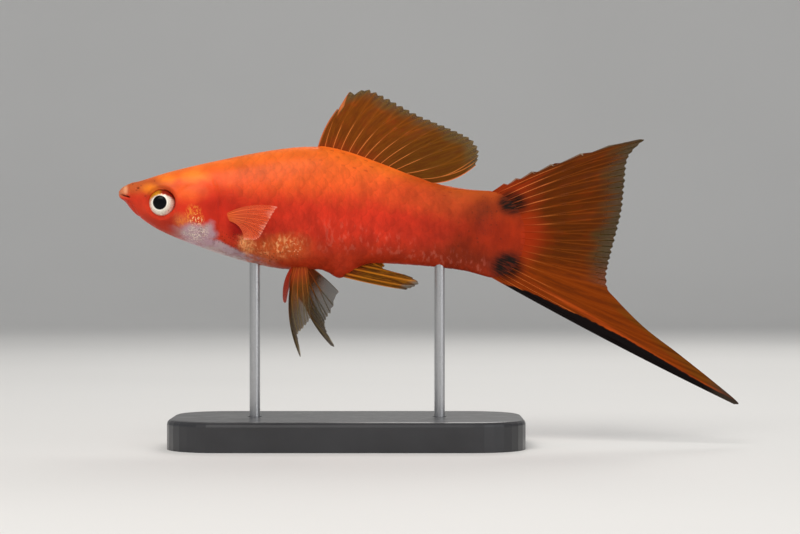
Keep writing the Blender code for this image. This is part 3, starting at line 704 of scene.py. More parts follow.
@dataclass(frozen=True)
class EyeFinish:
    """A glossy eye: a black pupil in a silver ring, olive and gold above and dark red at its upper rear, partly painted
    shade.
    """

    middle: tuple[float, float] = (7.34, -1.54)
    pupil_radius: float = 1.19
    silver_middle: tuple[float, float] = (7.66, -1.98)
    silver_half: tuple[float, float] = (2.20, 1.80)
    pupil: Colour = (0.003, 0.003, 0.004)
    silver: Colour = (0.80, 0.68, 0.55)
    bright: Colour = (0.95, 0.86, 0.74)
    rim: Colour = (0.55, 0.24, 0.14)
    olive: Colour = (0.56, 0.24, 0.012)
    # Dark red at the eye's upper rear: the iris's own colour with painted shade of the orbit's rim.
    brow_and_shade: Colour = (0.30, 0.022, 0.010)

    def material(self) -> bpy.types.Material:
        """Builds the finish, round the eye's middle in side view."""
        material, wire, shader = new_material("glossy eye")
        along, _across, high = wire.parts(wire.place())
        back = wire.math("SUBTRACT", along, self.middle[0])
        up = wire.math("SUBTRACT", high, self.middle[1])
        off = wire.vector("LENGTH", wire.joined(back, up))
        turn = wire.math("ARCTAN2", up, back)
        streaks = wire.grain(wire.joined(wire.math("MULTIPLY", turn, 3.5), wire.math("MULTIPLY", off, 1.2)), 2.4, 3.0, 0.65)
        mottle = wire.grain(wire.joined(back, up), 2.6, 4.0, 0.7)
        colour = wire.mix(wire.span(streaks, 0.35, 0.65, 0.0, 0.7), self.silver, self.bright)
        ring = wire.span(off, self.pupil_radius + 0.10, self.pupil_radius + 0.38, 0.85, 0.0)
        colour = wire.mix(ring, colour, (1.0, 0.95, 0.84))
        specks = wire.product(wire.span(mottle, 0.52, 0.62), wire.span(off, 1.4, 2.0), 0.55)
        colour = wire.mix(specks, colour, (0.42, 0.33, 0.22))
        flat = wire.math("DIVIDE", wire.math("SUBTRACT", along, self.silver_middle[0]), self.silver_half[0])
        tall = wire.math("DIVIDE", wire.math("SUBTRACT", high, self.silver_middle[1]), self.silver_half[1])
        rough = wire.math("MULTIPLY", wire.math("SUBTRACT", mottle, 0.5), 0.35)
        share = wire.math("ADD", wire.vector("LENGTH", wire.joined(flat, tall)), rough)
        colour = wire.mix(wire.span(share, 0.86, 1.0, 0.0, 0.6), colour, self.rim)
        # Upper edge of the eye: olive in front, dark red behind, partly painted shade under the orbit's rim.
        lid = wire.mix(wire.span(back, -0.5, 0.6), self.olive, self.brow_and_shade)
        lid = wire.mix(wire.product(wire.span(mottle, 0.50, 0.62), wire.span(back, 0.4, -0.6)), lid, (0.85, 0.40, 0.04))
        colour = wire.mix(wire.product(wire.span(share, 0.95, 1.08), wire.span(up, 0.2, 0.8)), colour, lid)
        pupil = wire.span(off, self.pupil_radius - 0.05, self.pupil_radius + 0.05, 1.0, 0.0)
        colour = wire.mix(pupil, colour, self.pupil)
        wire.feed(shader.inputs["Base Color"], colour)
        wire.feed(shader.inputs["Roughness"], wire.span(pupil, 0.0, 1.0, 0.32, 0.20))
        wire.feed(shader.inputs["Metallic"], wire.math("MULTIPLY", wire.math("SUBTRACT", 1.0, pupil), 0.25))
        relief = wire.node("ShaderNodeBump", Strength=0.15, Distance=0.0002, Height=streaks)
        wire.feed(shader.inputs["Normal"], relief.outputs["Normal"])
        shader.inputs["Specular IOR Level"].default_value = 0.07
        shader.inputs["Coat Weight"].default_value = 0.02
        shader.inputs["Coat Roughness"].default_value = 0.05
        return material


@dataclass(frozen=True)
class FinFinish:
    """Thin fin membrane with paler rays, from its root to its edge."""

    name: str
    root: Colour = (0.26, 0.045, 0.005)
    web: Colour = (0.20, 0.050, 0.003)
    edge: Colour = (0.13, 0.075, 0.018)
    shadow: Colour = (0.085, 0.014, 0.002)
    flame: Colour = (0.36, 0.060, 0.006)
    ray_root: Colour = (0.78, 0.22, 0.05)
    ray_middle: Colour = (0.36, 0.09, 0.012)
    ray_edge: Colour = (0.12, 0.07, 0.03)
    root_to: tuple[float, float] = (0.05, 0.30)
    edge_from: tuple[float, float] = (0.74, 0.97)
    ray_start: tuple[float, float] = (0.0, 0.08)
    ray_fade: tuple[float, float] = (0.32, 0.52)
    ray_share: tuple[float, float, float] = (0.85, 0.22, 0.35)
    shadow_share: float = 0.45
    flame_share: float = 0.5
    opacity: tuple[float, float, float] = (0.99, 0.96, 0.60)
    # Pale colour of the rays' ends at the fin's edge; on the pelvic fins it is a painted highlight, the white glints of
    # their edge.
    tip: Colour = (0.36, 0.30, 0.22)
    tip_share: float = 0.0
    width: float = 0.08
    split: float = 0.45
    band: float = 0.0
    lobe: float = 0.0
    lead: Colour = (0.36, 0.30, 0.22)
    pale_lead: float = 0.0
    leads: tuple[tuple[float, float], ...] = ()
    pale_last: float = 0.0
    late: Colour = (0.13, 0.046, 0.003)
    late_share: float = 0.0
    clear_late: float = 0.0

    def material(self, last: int) -> bpy.types.Material:
        """Builds the finish.

        Args:
            last: the number of the fin's last ray.

        Returns:
            The material.
        """
        material, wire, shader = new_material(self.name)
        place = wire.place()
        ray, reach, gap = (wire.attribute(name) for name in ("ray", "reach", "gap"))
        rays = wire.use(ray_group(), Ray=ray, Reach=reach, Gap=gap, Split=self.split, Last=float(last), Width=self.width)
        line, web = rays.outputs["Line"], rays.outputs["Web"]
        stretched = wire.joined(wire.math("MULTIPLY", ray, 3.2), wire.math("MULTIPLY", reach, 3.0))
        streak = wire.grain(stretched, 1.6, 4.0, 0.65)
        patchy = wire.grain(wire.joined(wire.math("MULTIPLY", ray, 0.7), wire.math("MULTIPLY", reach, 3.0)), 1.3, 3.0)
        drifted = wire.math("ADD", reach, wire.math("MULTIPLY", wire.math("SUBTRACT", patchy, 0.5), 0.35))
        colour = wire.mix(wire.span(drifted, *self.root_to), self.root, self.web)
        flames = wire.product(wire.span(patchy, 0.46, 0.60), wire.span(streak, 0.42, 0.60), wire.span(reach, 0.30, 0.50))
        colour = wire.mix(wire.product(flames, self.flame_share), colour, self.flame)
        if self.late_share:
            colour = wire.mix(wire.span(ray, 0.40 * last, 0.75 * last, 0.0, self.late_share), colour, self.late)
        rim = wire.span(drifted, *self.edge_from)
        if self.band:
            rim = wire.product(rim, wire.span(ray, last - 5.5, last - 4.5, 1.0, 0.0))
        colour = wire.mix(rim, colour, self.edge)
        if self.lobe:
            front = wire.product(wire.span(ray, 0.9, 1.5, 1.0, 0.0), wire.span(reach, 0.52, 0.30))
            colour = wire.mix(front, colour, (0.42, 0.060, 0.008))
            colour = wire.mix(wire.span(ray, self.lobe - 0.08, self.lobe + 0.04, 0.9, 0.0), colour, (0.30, 0.016, 0.005))
        if self.band:
            colour = wire.mix(wire.span(ray, 11.0, 14.0, 0.0, 0.75), colour, (0.25, 0.038, 0.001))
            upper = wire.product(wire.span(ray, 14.0, 15.0), wire.span(drifted, 0.84, 0.98), 0.65)
            colour = wire.mix(upper, colour, (0.13, 0.050, 0.003))
            along = wire.parts(place)[0]
            stripe = wire.math("ABSOLUTE", wire.math("SUBTRACT", ray, wire.span(along, 70.0, 102.0, 15.8, 18.0)))
            bright = wire.product(wire.span(stripe, 0.10, 0.55, 1.0, 0.0), wire.span(along, 68.0, 76.0), 0.8)
            colour = wire.mix(bright, colour, (0.46, 0.064, 0.006))
        threads = wire.product(web, wire.span(streak, 0.35, 0.60), self.shadow_share)
        colour = wire.mix(threads, colour, self.shadow)
        ray_colour = wire.mix(wire.span(drifted, *self.ray_fade), self.ray_root, self.ray_middle)
        ray_colour = wire.mix(rim, ray_colour, self.ray_edge)
        beads = wire.span(rays.outputs["Joints"], 0.0, 1.0, 1.0, 0.78)
        share = wire.span(drifted, *self.ray_fade, self.ray_share[0], self.ray_share[1])
        share = wire.math("MAXIMUM", share, wire.product(rim, self.ray_share[2]))
        if self.pale_last:
            late = wire.product(wire.span(ray, last - 1.4, last - 1.1), wire.span(reach, 1.0, 0.9), self.pale_last)
            share = wire.math("MAXIMUM", share, late)
            ray_colour = wire.mix(late, ray_colour, self.ray_root)
        share = wire.product(share, wire.span(reach, *self.ray_start))
        if self.band:
            sheath = Oval(self.root, 62.6, -6.9, 8.6, 7.0, 0.3).mask(wire, place)
            colour = wire.mix(sheath, colour, self.root)
            share = wire.product(share, wire.math("SUBTRACT", 1.0, sheath))
        colour = wire.mix(wire.product(line, share, beads), colour, ray_colour)
        if self.band:
            colour = RED_ROOT.paint(wire, place, colour)
        # Pale ray ends at the edge; on the pelvic fins a painted highlight.
        if self.tip_share:
            colour = wire.mix(wire.product(wire.span(reach, 0.93, 1.0), line, self.tip_share), colour, self.tip)
        for first, from_reach in self.leads:
            stripe = wire.math("ABSOLUTE", wire.math("SUBTRACT", ray, first))
            lead = wire.product(wire.span(stripe, 0.08, 0.22, 1.0, 0.0), wire.span(reach, from_reach, from_reach + 0.1))
            colour = wire.mix(wire.product(lead, self.pale_lead), colour, self.lead)
        if self.band:
            colour = self.dark_band(wire, place, spotted(wire, place, colour, wire.product(line, 0.5)))
        wire.feed(shader.inputs["Base Color"], colour)
        wire.feed(shader.inputs["Alpha"], self.cover(wire, ray, reach, line, last))
        wire.feed(shader.inputs["Roughness"], wire.span(line, 0.0, 1.0, 0.46, 0.38))
        relief = wire.node("ShaderNodeBump", Strength=0.25, Distance=0.0002, Height=streak)
        wire.feed(shader.inputs["Normal"], relief.outputs["Normal"])
        shader.inputs["Specular IOR Level"].default_value = 0.05
        return material

    def cover(self, wire: Wiring, ray: Source, reach: Source, line: Source, last: int) -> bpy.types.NodeSocket:
        """How opaque the fin is: nearly closed at its root, clearer towards its edge and between its rays.

        Args:
            wire: the tree to write into.
            ray: the ray's number there.
            reach: the share of the way to the edge.
            line: the mask of the rays.
            last: the number of the fin's last ray.

        Returns:
            The opacity.
        """
        inner = wire.span(reach, 0.10, self.edge_from[0], 0.0, self.opacity[0] - self.opacity[1])
        outer = wire.span(reach, self.edge_from[0], 1.0, 0.0, self.opacity[1] - self.opacity[2])
        opaque = wire.math("SUBTRACT", wire.math("SUBTRACT", self.opacity[0], inner), outer)
        if self.clear_late:
            clear = wire.product(wire.span(ray, 0.30 * last, 0.75 * last), wire.span(reach, 0.30, 0.60), self.clear_late)
            opaque = wire.product(opaque, wire.math("SUBTRACT", 1.0, clear))
        opaque = wire.math("ADD", opaque, wire.product(line, 0.35))
        if self.band:
            opaque = wire.math("ADD", opaque, wire.span(ray, last - 5.5, last - 4.5))
        return wire.math("MINIMUM", opaque, 1.0)

    def dark_band(self, wire: Wiring, place: Source, colour: Source) -> bpy.types.NodeSocket:
        """Lays the black band along the sword's lower edge, and its pale tip.

        Args:
            wire: the tree to write into.
            place: the place on the fish.
            colour: the colour below.

        Returns:
            The colour with its band.
        """
        along = wire.parts(place)[0]
        rough = wire.math("MULTIPLY", wire.math("SUBTRACT", wire.grain(place, 0.8, 3.0), 0.5), 0.5)
        width = wire.math("ADD", wire.span(along, 62.6, 72.5, 0.0, 0.7 * self.band), rough)
        width = wire.math("ADD", width, wire.span(along, 72.5, 82.0, 0.0, 0.3 * self.band))
        width = wire.math("MULTIPLY", width, wire.span(along, 84.0, 105.0, 1.0, 0.40))
        low = wire.attribute("low")
        dark = wire.span(low, wire.math("SUBTRACT", width, 0.10), wire.math("ADD", width, 0.10), 1.0, 0.0)
        colour = wire.mix(dark, colour, (0.005, 0.003, 0.003))
        return wire.mix(wire.product(wire.span(along, 99.0, 103.5), 0.85), colour, (0.045, 0.032, 0.022))


@dataclass(frozen=True)
class Lacquer:
    """Satin black lacquer of the base, with faint unevenness."""

    colour: Colour = (0.014, 0.014, 0.016)
    roughness: tuple[float, float] = (0.30, 0.42)

    def material(self) -> bpy.types.Material:
        """Builds the finish."""
        material, wire, shader = new_material("satin black lacquer")
        place = wire.place()
        cloudy = wire.grain(place, 0.12, 4.0, 0.6)
        fine = wire.grain(place, 5.0, 2.0)
        tint = wire.mix(wire.span(cloudy, 0.3, 0.7), self.colour, tuple(part * 1.5 for part in self.colour))
        wire.feed(shader.inputs["Base Color"], tint)
        wire.feed(shader.inputs["Roughness"], wire.span(cloudy, 0.3, 0.7, *self.roughness))
        relief = wire.node("ShaderNodeBump", Strength=0.05, Distance=0.0001, Height=fine)
        wire.feed(shader.inputs["Normal"], relief.outputs["Normal"])
        shader.inputs["Coat Weight"].default_value = 0.3
        shader.inputs["Coat Roughness"].default_value = 0.15
        return material


@dataclass(frozen=True)
class BrushedSteel:
    """Brushed steel of the rods, with fine marks round them."""

    colour: Colour = (0.56, 0.56, 0.57)

    def material(self) -> bpy.types.Material:
        """Builds the finish."""
        material, wire, shader = new_material("brushed steel")
        along, across, high = wire.parts(wire.place())
        marks = wire.grain(wire.joined(along, across, wire.math("MULTIPLY", high, 14.0)), 1.2, 4.0, 0.7)
        tint = wire.mix(wire.span(marks, 0.3, 0.7), self.colour, tuple(part * 0.8 for part in self.colour))
        wire.feed(shader.inputs["Base Color"], tint)
        wire.feed(shader.inputs["Roughness"], wire.span(marks, 0.3, 0.7, 0.26, 0.40))
        relief = wire.node("ShaderNodeBump", Strength=0.08, Distance=0.0001, Height=marks)
        wire.feed(shader.inputs["Normal"], relief.outputs["Normal"])
        shader.inputs["Metallic"].default_value = 1.0
        return material


@dataclass(frozen=True)
class Section:
    """The trunk's upright section at one place along it."""

    middle: float
    above: float
    below: float
    wide: float
    power_above: float
    power_below: float
    vent: float


@dataclass
class Trunk:
    """The trunk's shape from the snout to the root of the tail fin, as named curves along it."""

    length: float = 69.6
    back: Points = (
        (0, 1.0), (1.0, 1.35), (2.0, 1.85), (3.6, 2.2), (8.7, 3.75), (17.2, 5.75), (27.4, 7.6), (33.7, 8.0),
        (38.5, 7.1), (44.4, 5.05), (51.2, 2.5), (58.0, 1.0), (63.5, 0.55), (69.6, 0.6),
    )
    belly: Points = (
        (0, -0.8), (1.0, -1.25), (2.2, -2.75), (3.6, -4.0), (7.0, -6.2), (13.8, -9.0), (20.6, -11.2),
        (27.4, -12.65), (33.0, -12.75), (40.0, -11.8), (47.8, -11.9), (58.0, -12.9), (63.5, -14.3),
        (69.6, -15.5),
    )
    widest: Points = (
        (0, 0.0), (7.0, -0.6), (20.0, -2.2), (34.0, -2.8), (48.0, -4.0), (60.0, -6.2), (69.6, -7.0),
    )
    half_width: Points = (
        (0, 1.25), (1.5, 1.95), (3.6, 2.75), (7.0, 3.7), (12.0, 4.65), (20.0, 5.3), (30.0, 5.1), (41.0, 4.0),
        (51.0, 2.85), (60.0, 1.8), (63.0, 1.12), (65.0, 0.72), (66.5, 0.46), (68.2, 0.22), (69.6, 0.06),
    )
    square_above: Points = ((0, 2.6), (8.0, 2.7), (18.0, 2.3), (40.0, 2.1), (69.6, 2.0))
    square_below: Points = ((0, 2.2), (10.0, 2.0), (25.0, 2.1), (40.0, 2.0), (69.6, 2.0))
    snout_round: float = 1.0
    tail_round_from: float = 62.5
    tail_edge_round: float = 0.5
    vent: tuple[float, float, float, float] = (37.7, 2.2, 2.8, 2.2)
    known: dict[float, Section] = field(default_factory=dict, repr=False)

    def section(self, along: float) -> Section:
        """The section at a place along, worked out once.

        Args:
            along: how far behind the snout's tip.

        Returns:
            The section's sizes.
        """
        if along not in self.known:
            snout = math.sqrt(1 - (1 - min(max(along, 0) / self.snout_round, 1)) ** 2)
            past = max(along - self.tail_round_from, 0) / (self.length - self.tail_round_from)
            tail = math.sqrt(max(1 - past**2, 0))
            left = min(max((self.length - along) / self.tail_edge_round, 0), 1)
            middle = smooth(self.widest, along)
            self.known[along] = Section(
                middle=middle,
                above=(smooth(self.back, along) - middle) * snout * tail,
                below=(middle - smooth(self.belly, along)) * snout * tail,
                wide=smooth(self.half_width, along) * snout * math.sqrt(1 - (1 - left) ** 2),
                power_above=2 / smooth(self.square_above, along),
                power_below=2 / smooth(self.square_below, along),
                vent=self.vent[3] * bump(along - self.vent[0], self.vent[1 if along < self.vent[0] else 2]),
            )
        return self.known[along]

    def place(self, along: float, turn: float) -> Vector:
        """A place on the smooth trunk.

        Args:
            along: how far behind the snout's tip.
            turn: the angle round from the back, to the right.

        Returns:
            The place as (along, across, high).
        """
        cut = self.section(along)
        up, side = math.cos(turn), math.sin(turn)
        power = cut.power_above if up > 0 else cut.power_below
        high = cut.middle + (cut.above if up > 0 else -cut.below) * abs(up) ** power
        across = math.copysign(cut.wide * abs(side) ** power, side)
        return Vector((along, across, high - cut.vent * max(-up, 0) ** 14))

    def facing(self, along: float, turn: float) -> Vector:
        """The way that the smooth trunk faces at a place."""
        step = 0.02
        behind = self.place(along + 5 * step, turn) - self.place(along - 5 * step, turn)
        onwards = self.place(along, turn + step) - self.place(along, turn - step)
        return behind.cross(onwards).normalized()

    def girth(self, along: float, steps: int = 60) -> list[tuple[float, float]]:
        """Distances round one side of the section at a place along.

        Args:
            along: how far behind the snout's tip.
            steps: how finely the section is walked.

        Returns:
            (distance, turn) pairs from the back to the belly.
        """
        pairs, here = [(0.0, 0.0)], self.place(along, 0.0)
        for i in range(1, steps + 1):
            turn = math.pi * i / steps
            there = self.place(along, turn)
            pairs.append((pairs[-1][0] + (there - here).length, turn))
            here = there
        return pairs


@dataclass
class Face:
    """Forms of the head that are raised or sunk in the skin: lips, jaws, nostrils, orbits and gill covers."""

    mouth_corner: tuple[float, float] = (1.65, -0.50)
    mouth_front_high: float = -0.02
    chin: tuple[float, float] = (3.9, -4.6)
    lip_reach: float = 2.1
    eye: tuple[float, float] = (7.6, -1.54)
    nostril: tuple[float, float] = (3.5, 0.95)
    gill_centre: tuple[float, float] = (3.4, -3.2)
    gill_radius: float = 14.0
    cover: tuple[float, float] = (13.6, -3.6)
    cover_half: tuple[float, float] = (3.9, 4.9)
    cover_lean: float = math.radians(10)

    def mouth_line(self, along: float) -> float:
        """Height of the mouth's cleft."""
        return self.mouth_front_high + (self.mouth_corner[1] - self.mouth_front_high) / self.mouth_corner[0] * along

    def cover_share(self, along: float, high: float) -> float:
        """Distance from the gill cover's middle, as a share of the way to its edge."""
        x, z = along - self.cover[0], high - self.cover[1]
        turned_x = x * math.cos(self.cover_lean) + z * math.sin(self.cover_lean)
        turned_z = -x * math.sin(self.cover_lean) + z * math.cos(self.cover_lean)
        return math.hypot(turned_x / self.cover_half[0], turned_z / self.cover_half[1])

    def relief(self, along: float, side: float, high: float) -> tuple[float, float]:
        """How far the skin stands out at a place, and how much painted shade its hollows get.

        Args:
            along: how far behind the snout's tip.
            side: how much the skin faces sideways there, from 0 to 1.
            high: height above the mouth.

        Returns:
            The raise in millimetres and the share of painted shade in its hollows.
        """
        raised, hollow = 0.0, 0.0
        if along < 5.5:
            raised, hollow = self.muzzle(along, side, high)
        off_eye = math.hypot(along - self.eye[0], high - self.eye[1])
        if off_eye < 4.5:
            raised += side * (0.08 * bump(off_eye - 3.0, 0.35) - 0.36 * ease(off_eye, 2.95, 2.35) - 1.14 * ease(off_eye, 2.36, 2.10))
        if along > 9.0:
            raised += side * self.gills(along, high)
        return raised, hollow

    def muzzle(self, along: float, side: float, high: float) -> tuple[float, float]:
        """Lips, the mouth's cleft, the fold behind the lip, the jaw's line and the nostrils.

        Args:
            along: how far behind the snout's tip.
            side: how much the skin faces sideways there, from 0 to 1.
            high: height above the mouth.

        Returns:
            The raise in millimetres and the share of painted shade in the mouth's cleft and the nostrils.
        """
        from_line = high - self.mouth_line(along)
        on_lip = 1 - ease(along, self.lip_reach - 0.3, self.lip_reach + 0.25)
        cleft = bump(from_line, 0.10) * on_lip * ease(along, 0.0, 0.8)
        blunt = 0.3 + 0.7 * ease(along, 0.0, 0.9)
        lips = bump(from_line - 0.42, 0.30) + bump(from_line + 0.40, 0.28)
        raised = 0.20 * on_lip * blunt * lips - 0.34 * cleft
        fold_along = self.mouth_corner[0] + 0.10 * (high + 0.6)
        raised -= 0.14 * bump(along - fold_along, 0.16) * ease(high, -0.8, -0.3) * ease(high, 2.2, 1.2)
        chin_share = (self.mouth_corner[1] - high) / (self.mouth_corner[1] - self.chin[1])
        if 0 < chin_share < 1.2:
            jaw_along = self.mouth_corner[0] + chin_share * (self.chin[0] - self.mouth_corner[0])
            raised -= 0.10 * bump(along - jaw_along, 0.16) * (1 - ease(chin_share, 0.8, 1.15))
        off_nostril = math.hypot((along - self.nostril[0]) / 0.34, (high - self.nostril[1]) / 0.24)
        raised += side * (0.05 * bump(off_nostril - 1.25, 0.4) - 0.26 * bump(off_nostril, 0.75))
        # The second number is the share of painted shade: the mouth's cleft and the nostrils.
        return raised, max(cleft * ease(along, 0.5, 1.0), 0.7 * bump(off_nostril, 0.6) * (side > 0.15))

    def gills(self, along: float, high: float) -> float:
        """Raise of the gill cover, its edge, the groove behind it and the bones before it."""
        share = self.cover_share(along, high)
        x, z = along - self.gill_centre[0], high - self.gill_centre[1]
        from_edge = math.hypot(x, z) - self.gill_radius
        height = ease(high, -9.6, -7.6) * ease(high, 3.2, 1.0)
        cover = 0.22 * ease(share, 1.10, 0.55) * ease(from_edge, 0.12, -0.04) + 0.07 * bump(from_edge + 0.45, 0.5)
        slit = -0.15 * bump(from_edge - 0.16, 0.22)
        fore_edge = -0.07 * bump(share - 1.0, 0.05) * ease(x, 10.5, 8.0)
        ridge = along - 11.0 - 0.035 * (high + 3.6) ** 2
        cheek = -0.07 * bump(ridge, 0.16) * ease(high, -8.4, -6.6) * ease(high, 0.4, -1.2)
        return (cover + slit) * height + (fore_edge + cheek) * ease(along, 17.4, 16.8)


@dataclass
class Skin:
    """One seamless skin over the head, jaws, trunk, tail and gill covers."""

    trunk: Trunk
    face: Face
    rings: int = 372
    around: int = 252
    head_rings: int = 212
    head_length: float = 19.0
    sheath: float = 0.22

    def ring_along(self, ring: int) -> float:
        """Place of a ring, with closer rings on the head and at the tail's end."""
        if ring <= self.head_rings:
            turn = ring / self.head_rings * math.pi / 2.2
            return self.head_length * (1 - math.cos(turn)) / (1 - math.cos(math.pi / 2.2))
        rest = (ring - self.head_rings) / (self.rings - self.head_rings)
        eased = 0.55 * rest + 0.45 * math.sin(rest * math.pi / 2)
        return self.head_length + (self.trunk.length - self.head_length) * eased

    def build(self, material: bpy.types.Material) -> bpy.types.Object:
        """Makes the skin and its forms.

        Args:
            material: its finish.

        Returns:
            The finished piece.
        """
        bm = bmesh.new()
        down = bm.verts.layers.float.new("down")
        # Share of painted shade in the mouth's cleft and the nostrils.
        hollow = bm.verts.layers.float.new("hollow")
        bmesh.ops.create_grid(bm, x_segments=self.rings, y_segments=self.around, size=1.0)
        for vert in bm.verts:
            along = self.ring_along(round((vert.co.x + 1) / 2 * self.rings))
            turn = vert.co.y * math.pi
            vert.co = self.trunk.place(along, turn)
            vert[down] = abs(turn) / math.pi
        bmesh.ops.remove_doubles(bm, verts=bm.verts, dist=1e-5)
        bmesh.ops.recalc_face_normals(bm, faces=bm.faces)
        bm.normal_update()
        for vert in bm.verts:
            raised = self.sheaths(vert.co)
            if vert.co.x < self.head_length:
                relief, vert[hollow] = self.face.relief(vert.co.x, abs(vert.normal.y), vert.co.z)
                raised += relief
            vert.co += vert.normal * raised
        for vert in bm.verts:
            vert.co = placed(vert.co)
        skin = new_piece("skin", bm, material)
        settle(skin, FLESH_NODES)
        return skin

    def sheaths(self, place: Vector) -> float:
        """Raise of the low fleshy sheaths that the dorsal and pectoral fins grow from."""
        along, across, high = place
        back = self.sheath * bump(across, 0.6) * ease(along, 33.2, 34.6) * ease(along, 53.4, 51.0) * (high > -2)
        pectoral = 0.16 * bump(along - 18.9, 0.8) * bump(high + 4.2, 1.5) * (abs(across) > 2)
        return back + pectoral


@dataclass
class Scales:
    """Thin overlapping scales in staggered rows over the trunk and the nape."""

    trunk: Trunk
    face: Face
    first: float = 13.8
    last: float = 61.8
    pitch: float = 1.90
    rows: int = 18
    long: float = 3.2
    drop: float = 0.55
    root_sink: float = 0.09
    edge_lift: float = 0.025
    thickness: float = 0.020
    dome: float = 0.026
    curl: float = 0.020
    steps_long: int = 3
    steps_round: int = 6
    patch: float = 0.003
    layers: tuple[str, ...] = ("top", "free", "aside", "tone", "down")

    def build(self, material: bpy.types.Material) -> bpy.types.Object:
        """Makes every scale and joins them in one piece.

        Args:
            material: their finish.

        Returns:
            The finished piece.
        """
        blank = self.blank()
        sites = [site for site in self.sites() if not self.bare(site[0], self.trunk.place(site[0], site[1]).z)]
        bm = bmesh.new()
        for _site in sites:
            bm.from_mesh(blank)
        verts_each, faces_each = len(blank.vertices), len(blank.polygons)
        top, free, aside, tone, down = (bm.verts.layers.float[name] for name in self.layers)
        unwrap = bm.loops.layers.uv.new("OFBake")
        bm.verts.ensure_lookup_table()
        bm.faces.ensure_lookup_table()
        for index, (along, turn, height) in enumerate(sites):
            lit = math.sin(index * 12.9898) * 43758.5453
            shade = 2 * (lit - math.floor(lit)) - 1
            girth = self.trunk.girth(along)
            here = smooth([(angle, distance) for distance, angle in girth], abs(turn))
            centre = self.trunk.place(along, turn)
            shown = ease(along, 12.5, 20.0) * ease(along, 62.5, 56.0)
            for vert in bm.verts[index * verts_each : (index + 1) * verts_each]:
                reach, breadth = vert[free], vert[aside]
                edge = 1 - self.drop * (1 - math.sqrt(1 - 0.985 * breadth**2))
                at_turn = self.turn_at(girth, here + breadth * 0.52 * height, turn)
                at_along = along + self.long * (reach * edge - 0.70)
                lift = (self.root_sink + self.edge_lift) * reach * edge - self.curl * ease(reach, 0.7, 1.0)
                lift += self.dome * (1 - breadth**2) * ease(reach, 0.0, 0.5) + vert[top] * self.thickness
                lift = lift * shown - self.root_sink
                vert.co = self.trunk.place(at_along, at_turn) + self.trunk.facing(at_along, at_turn) * lift
                vert[tone], vert[down] = shade, min(abs(at_turn) / math.pi, 1.0)
            self.lay_patch(bm.faces[index * faces_each : (index + 1) * faces_each], unwrap, centre, turn)
        bm.verts.layers.float.remove(top)
        for vert in bm.verts:
            vert.co = placed(vert.co)
        bmesh.ops.recalc_face_normals(bm, faces=bm.faces)
        scales = new_piece("scales", bm, material)
        settle(scales)
        log.info("%d scales", len(sites))
        return scales

    def blank(self) -> bpy.types.Mesh:
        """One flat scale that keeps each corner's share of its length and breadth, and whether it is on top."""
        bm = bmesh.new()
        top, free, aside, _tone, _down = [bm.verts.layers.float.new(name) for name in self.layers]
        bmesh.ops.create_grid(bm, x_segments=self.steps_long, y_segments=self.steps_round, size=1.0)
        for vert in bm.verts:
            vert[free], vert[aside] = (vert.co.x + 1) / 2, vert.co.y
        drawn = bmesh.ops.extrude_face_region(bm, geom=list(bm.faces))["geom"]
        for vert in (item for item in drawn if isinstance(item, bmesh.types.BMVert)):
            vert[top] = 1.0
            vert.co.z += 1.0
        blank = bpy.data.meshes.new("blank scale")
        bm.to_mesh(blank)
        bm.free()
        return blank

    def sites(self) -> Iterable[tuple[float, float, float]]:
        """Where scales grow: the place along, the angle round and the height of each, from the head backwards.

        Returns:
            (along, turn, height) of each scale's middle.
        """
        columns = int((self.last - self.first) / self.pitch * 2)
        for column in range(columns, -1, -1):
            along = self.first + column * self.pitch / 2
            girth = self.trunk.girth(along)
            height = 2 * girth[-1][0] / self.rows
            for row in range(column % 2, self.rows + 1, 2):
                turn = smooth(girth, girth[-1][0] * row / self.rows)
                yield along, -turn, height
                if 0 < row < self.rows:
                    yield along, turn, height

    def bare(self, along: float, high: float) -> bool:
        """Whether no scale grows at a place: on the face, the gill cover and the pectoral fin's root."""
        x, z = along - self.face.gill_centre[0], high - self.face.gill_centre[1]
        off_fin = math.hypot((along - 19.2) / 1.4, (high + 4.2) / 1.8)
        return math.hypot(x, z) < self.face.gill_radius + 2.2 - 2.2 * ease(high, 0.0, 5.0) or off_fin < 1

    def turn_at(self, girth: Points, distance: float, turn: float) -> float:
        """The angle at a distance round from the back, on the same side as a scale's middle.

        Args:
            girth: (distance, turn) pairs of the section.
            distance: distance round from the back, which may pass the back or the belly.
            turn: the angle of the scale's middle.

        Returns:
            The angle.
        """
        side = -1.0 if turn < 0 else 1.0
        whole = girth[-1][0]
        if distance < 0:
            return -side * smooth(girth, -distance)
        if distance > whole:
            return side * (2 * math.pi - smooth(girth, 2 * whole - distance))
        return side * smooth(girth, distance)

    def lay_patch(
        self, faces: Sequence[bmesh.types.BMFace], unwrap: bmesh.types.BMLayerItem, root: Vector, turn: float
    ) -> None:
        """Lays one scale on the unwrap of the skin, as a small patch at its root.

        Args:
            faces: the scale's faces.
            unwrap: the layer to write.
            root: the scale's middle.
            turn: its angle round from the back.
        """
        u, v = root.x / self.trunk.length, (turn / math.pi + 1) / 2
        for face in faces:
            for loop in face.loops:
                away = (loop.vert.co - root) / self.long * self.patch
                loop[unwrap].uv = (u + away.x, v + away.z)


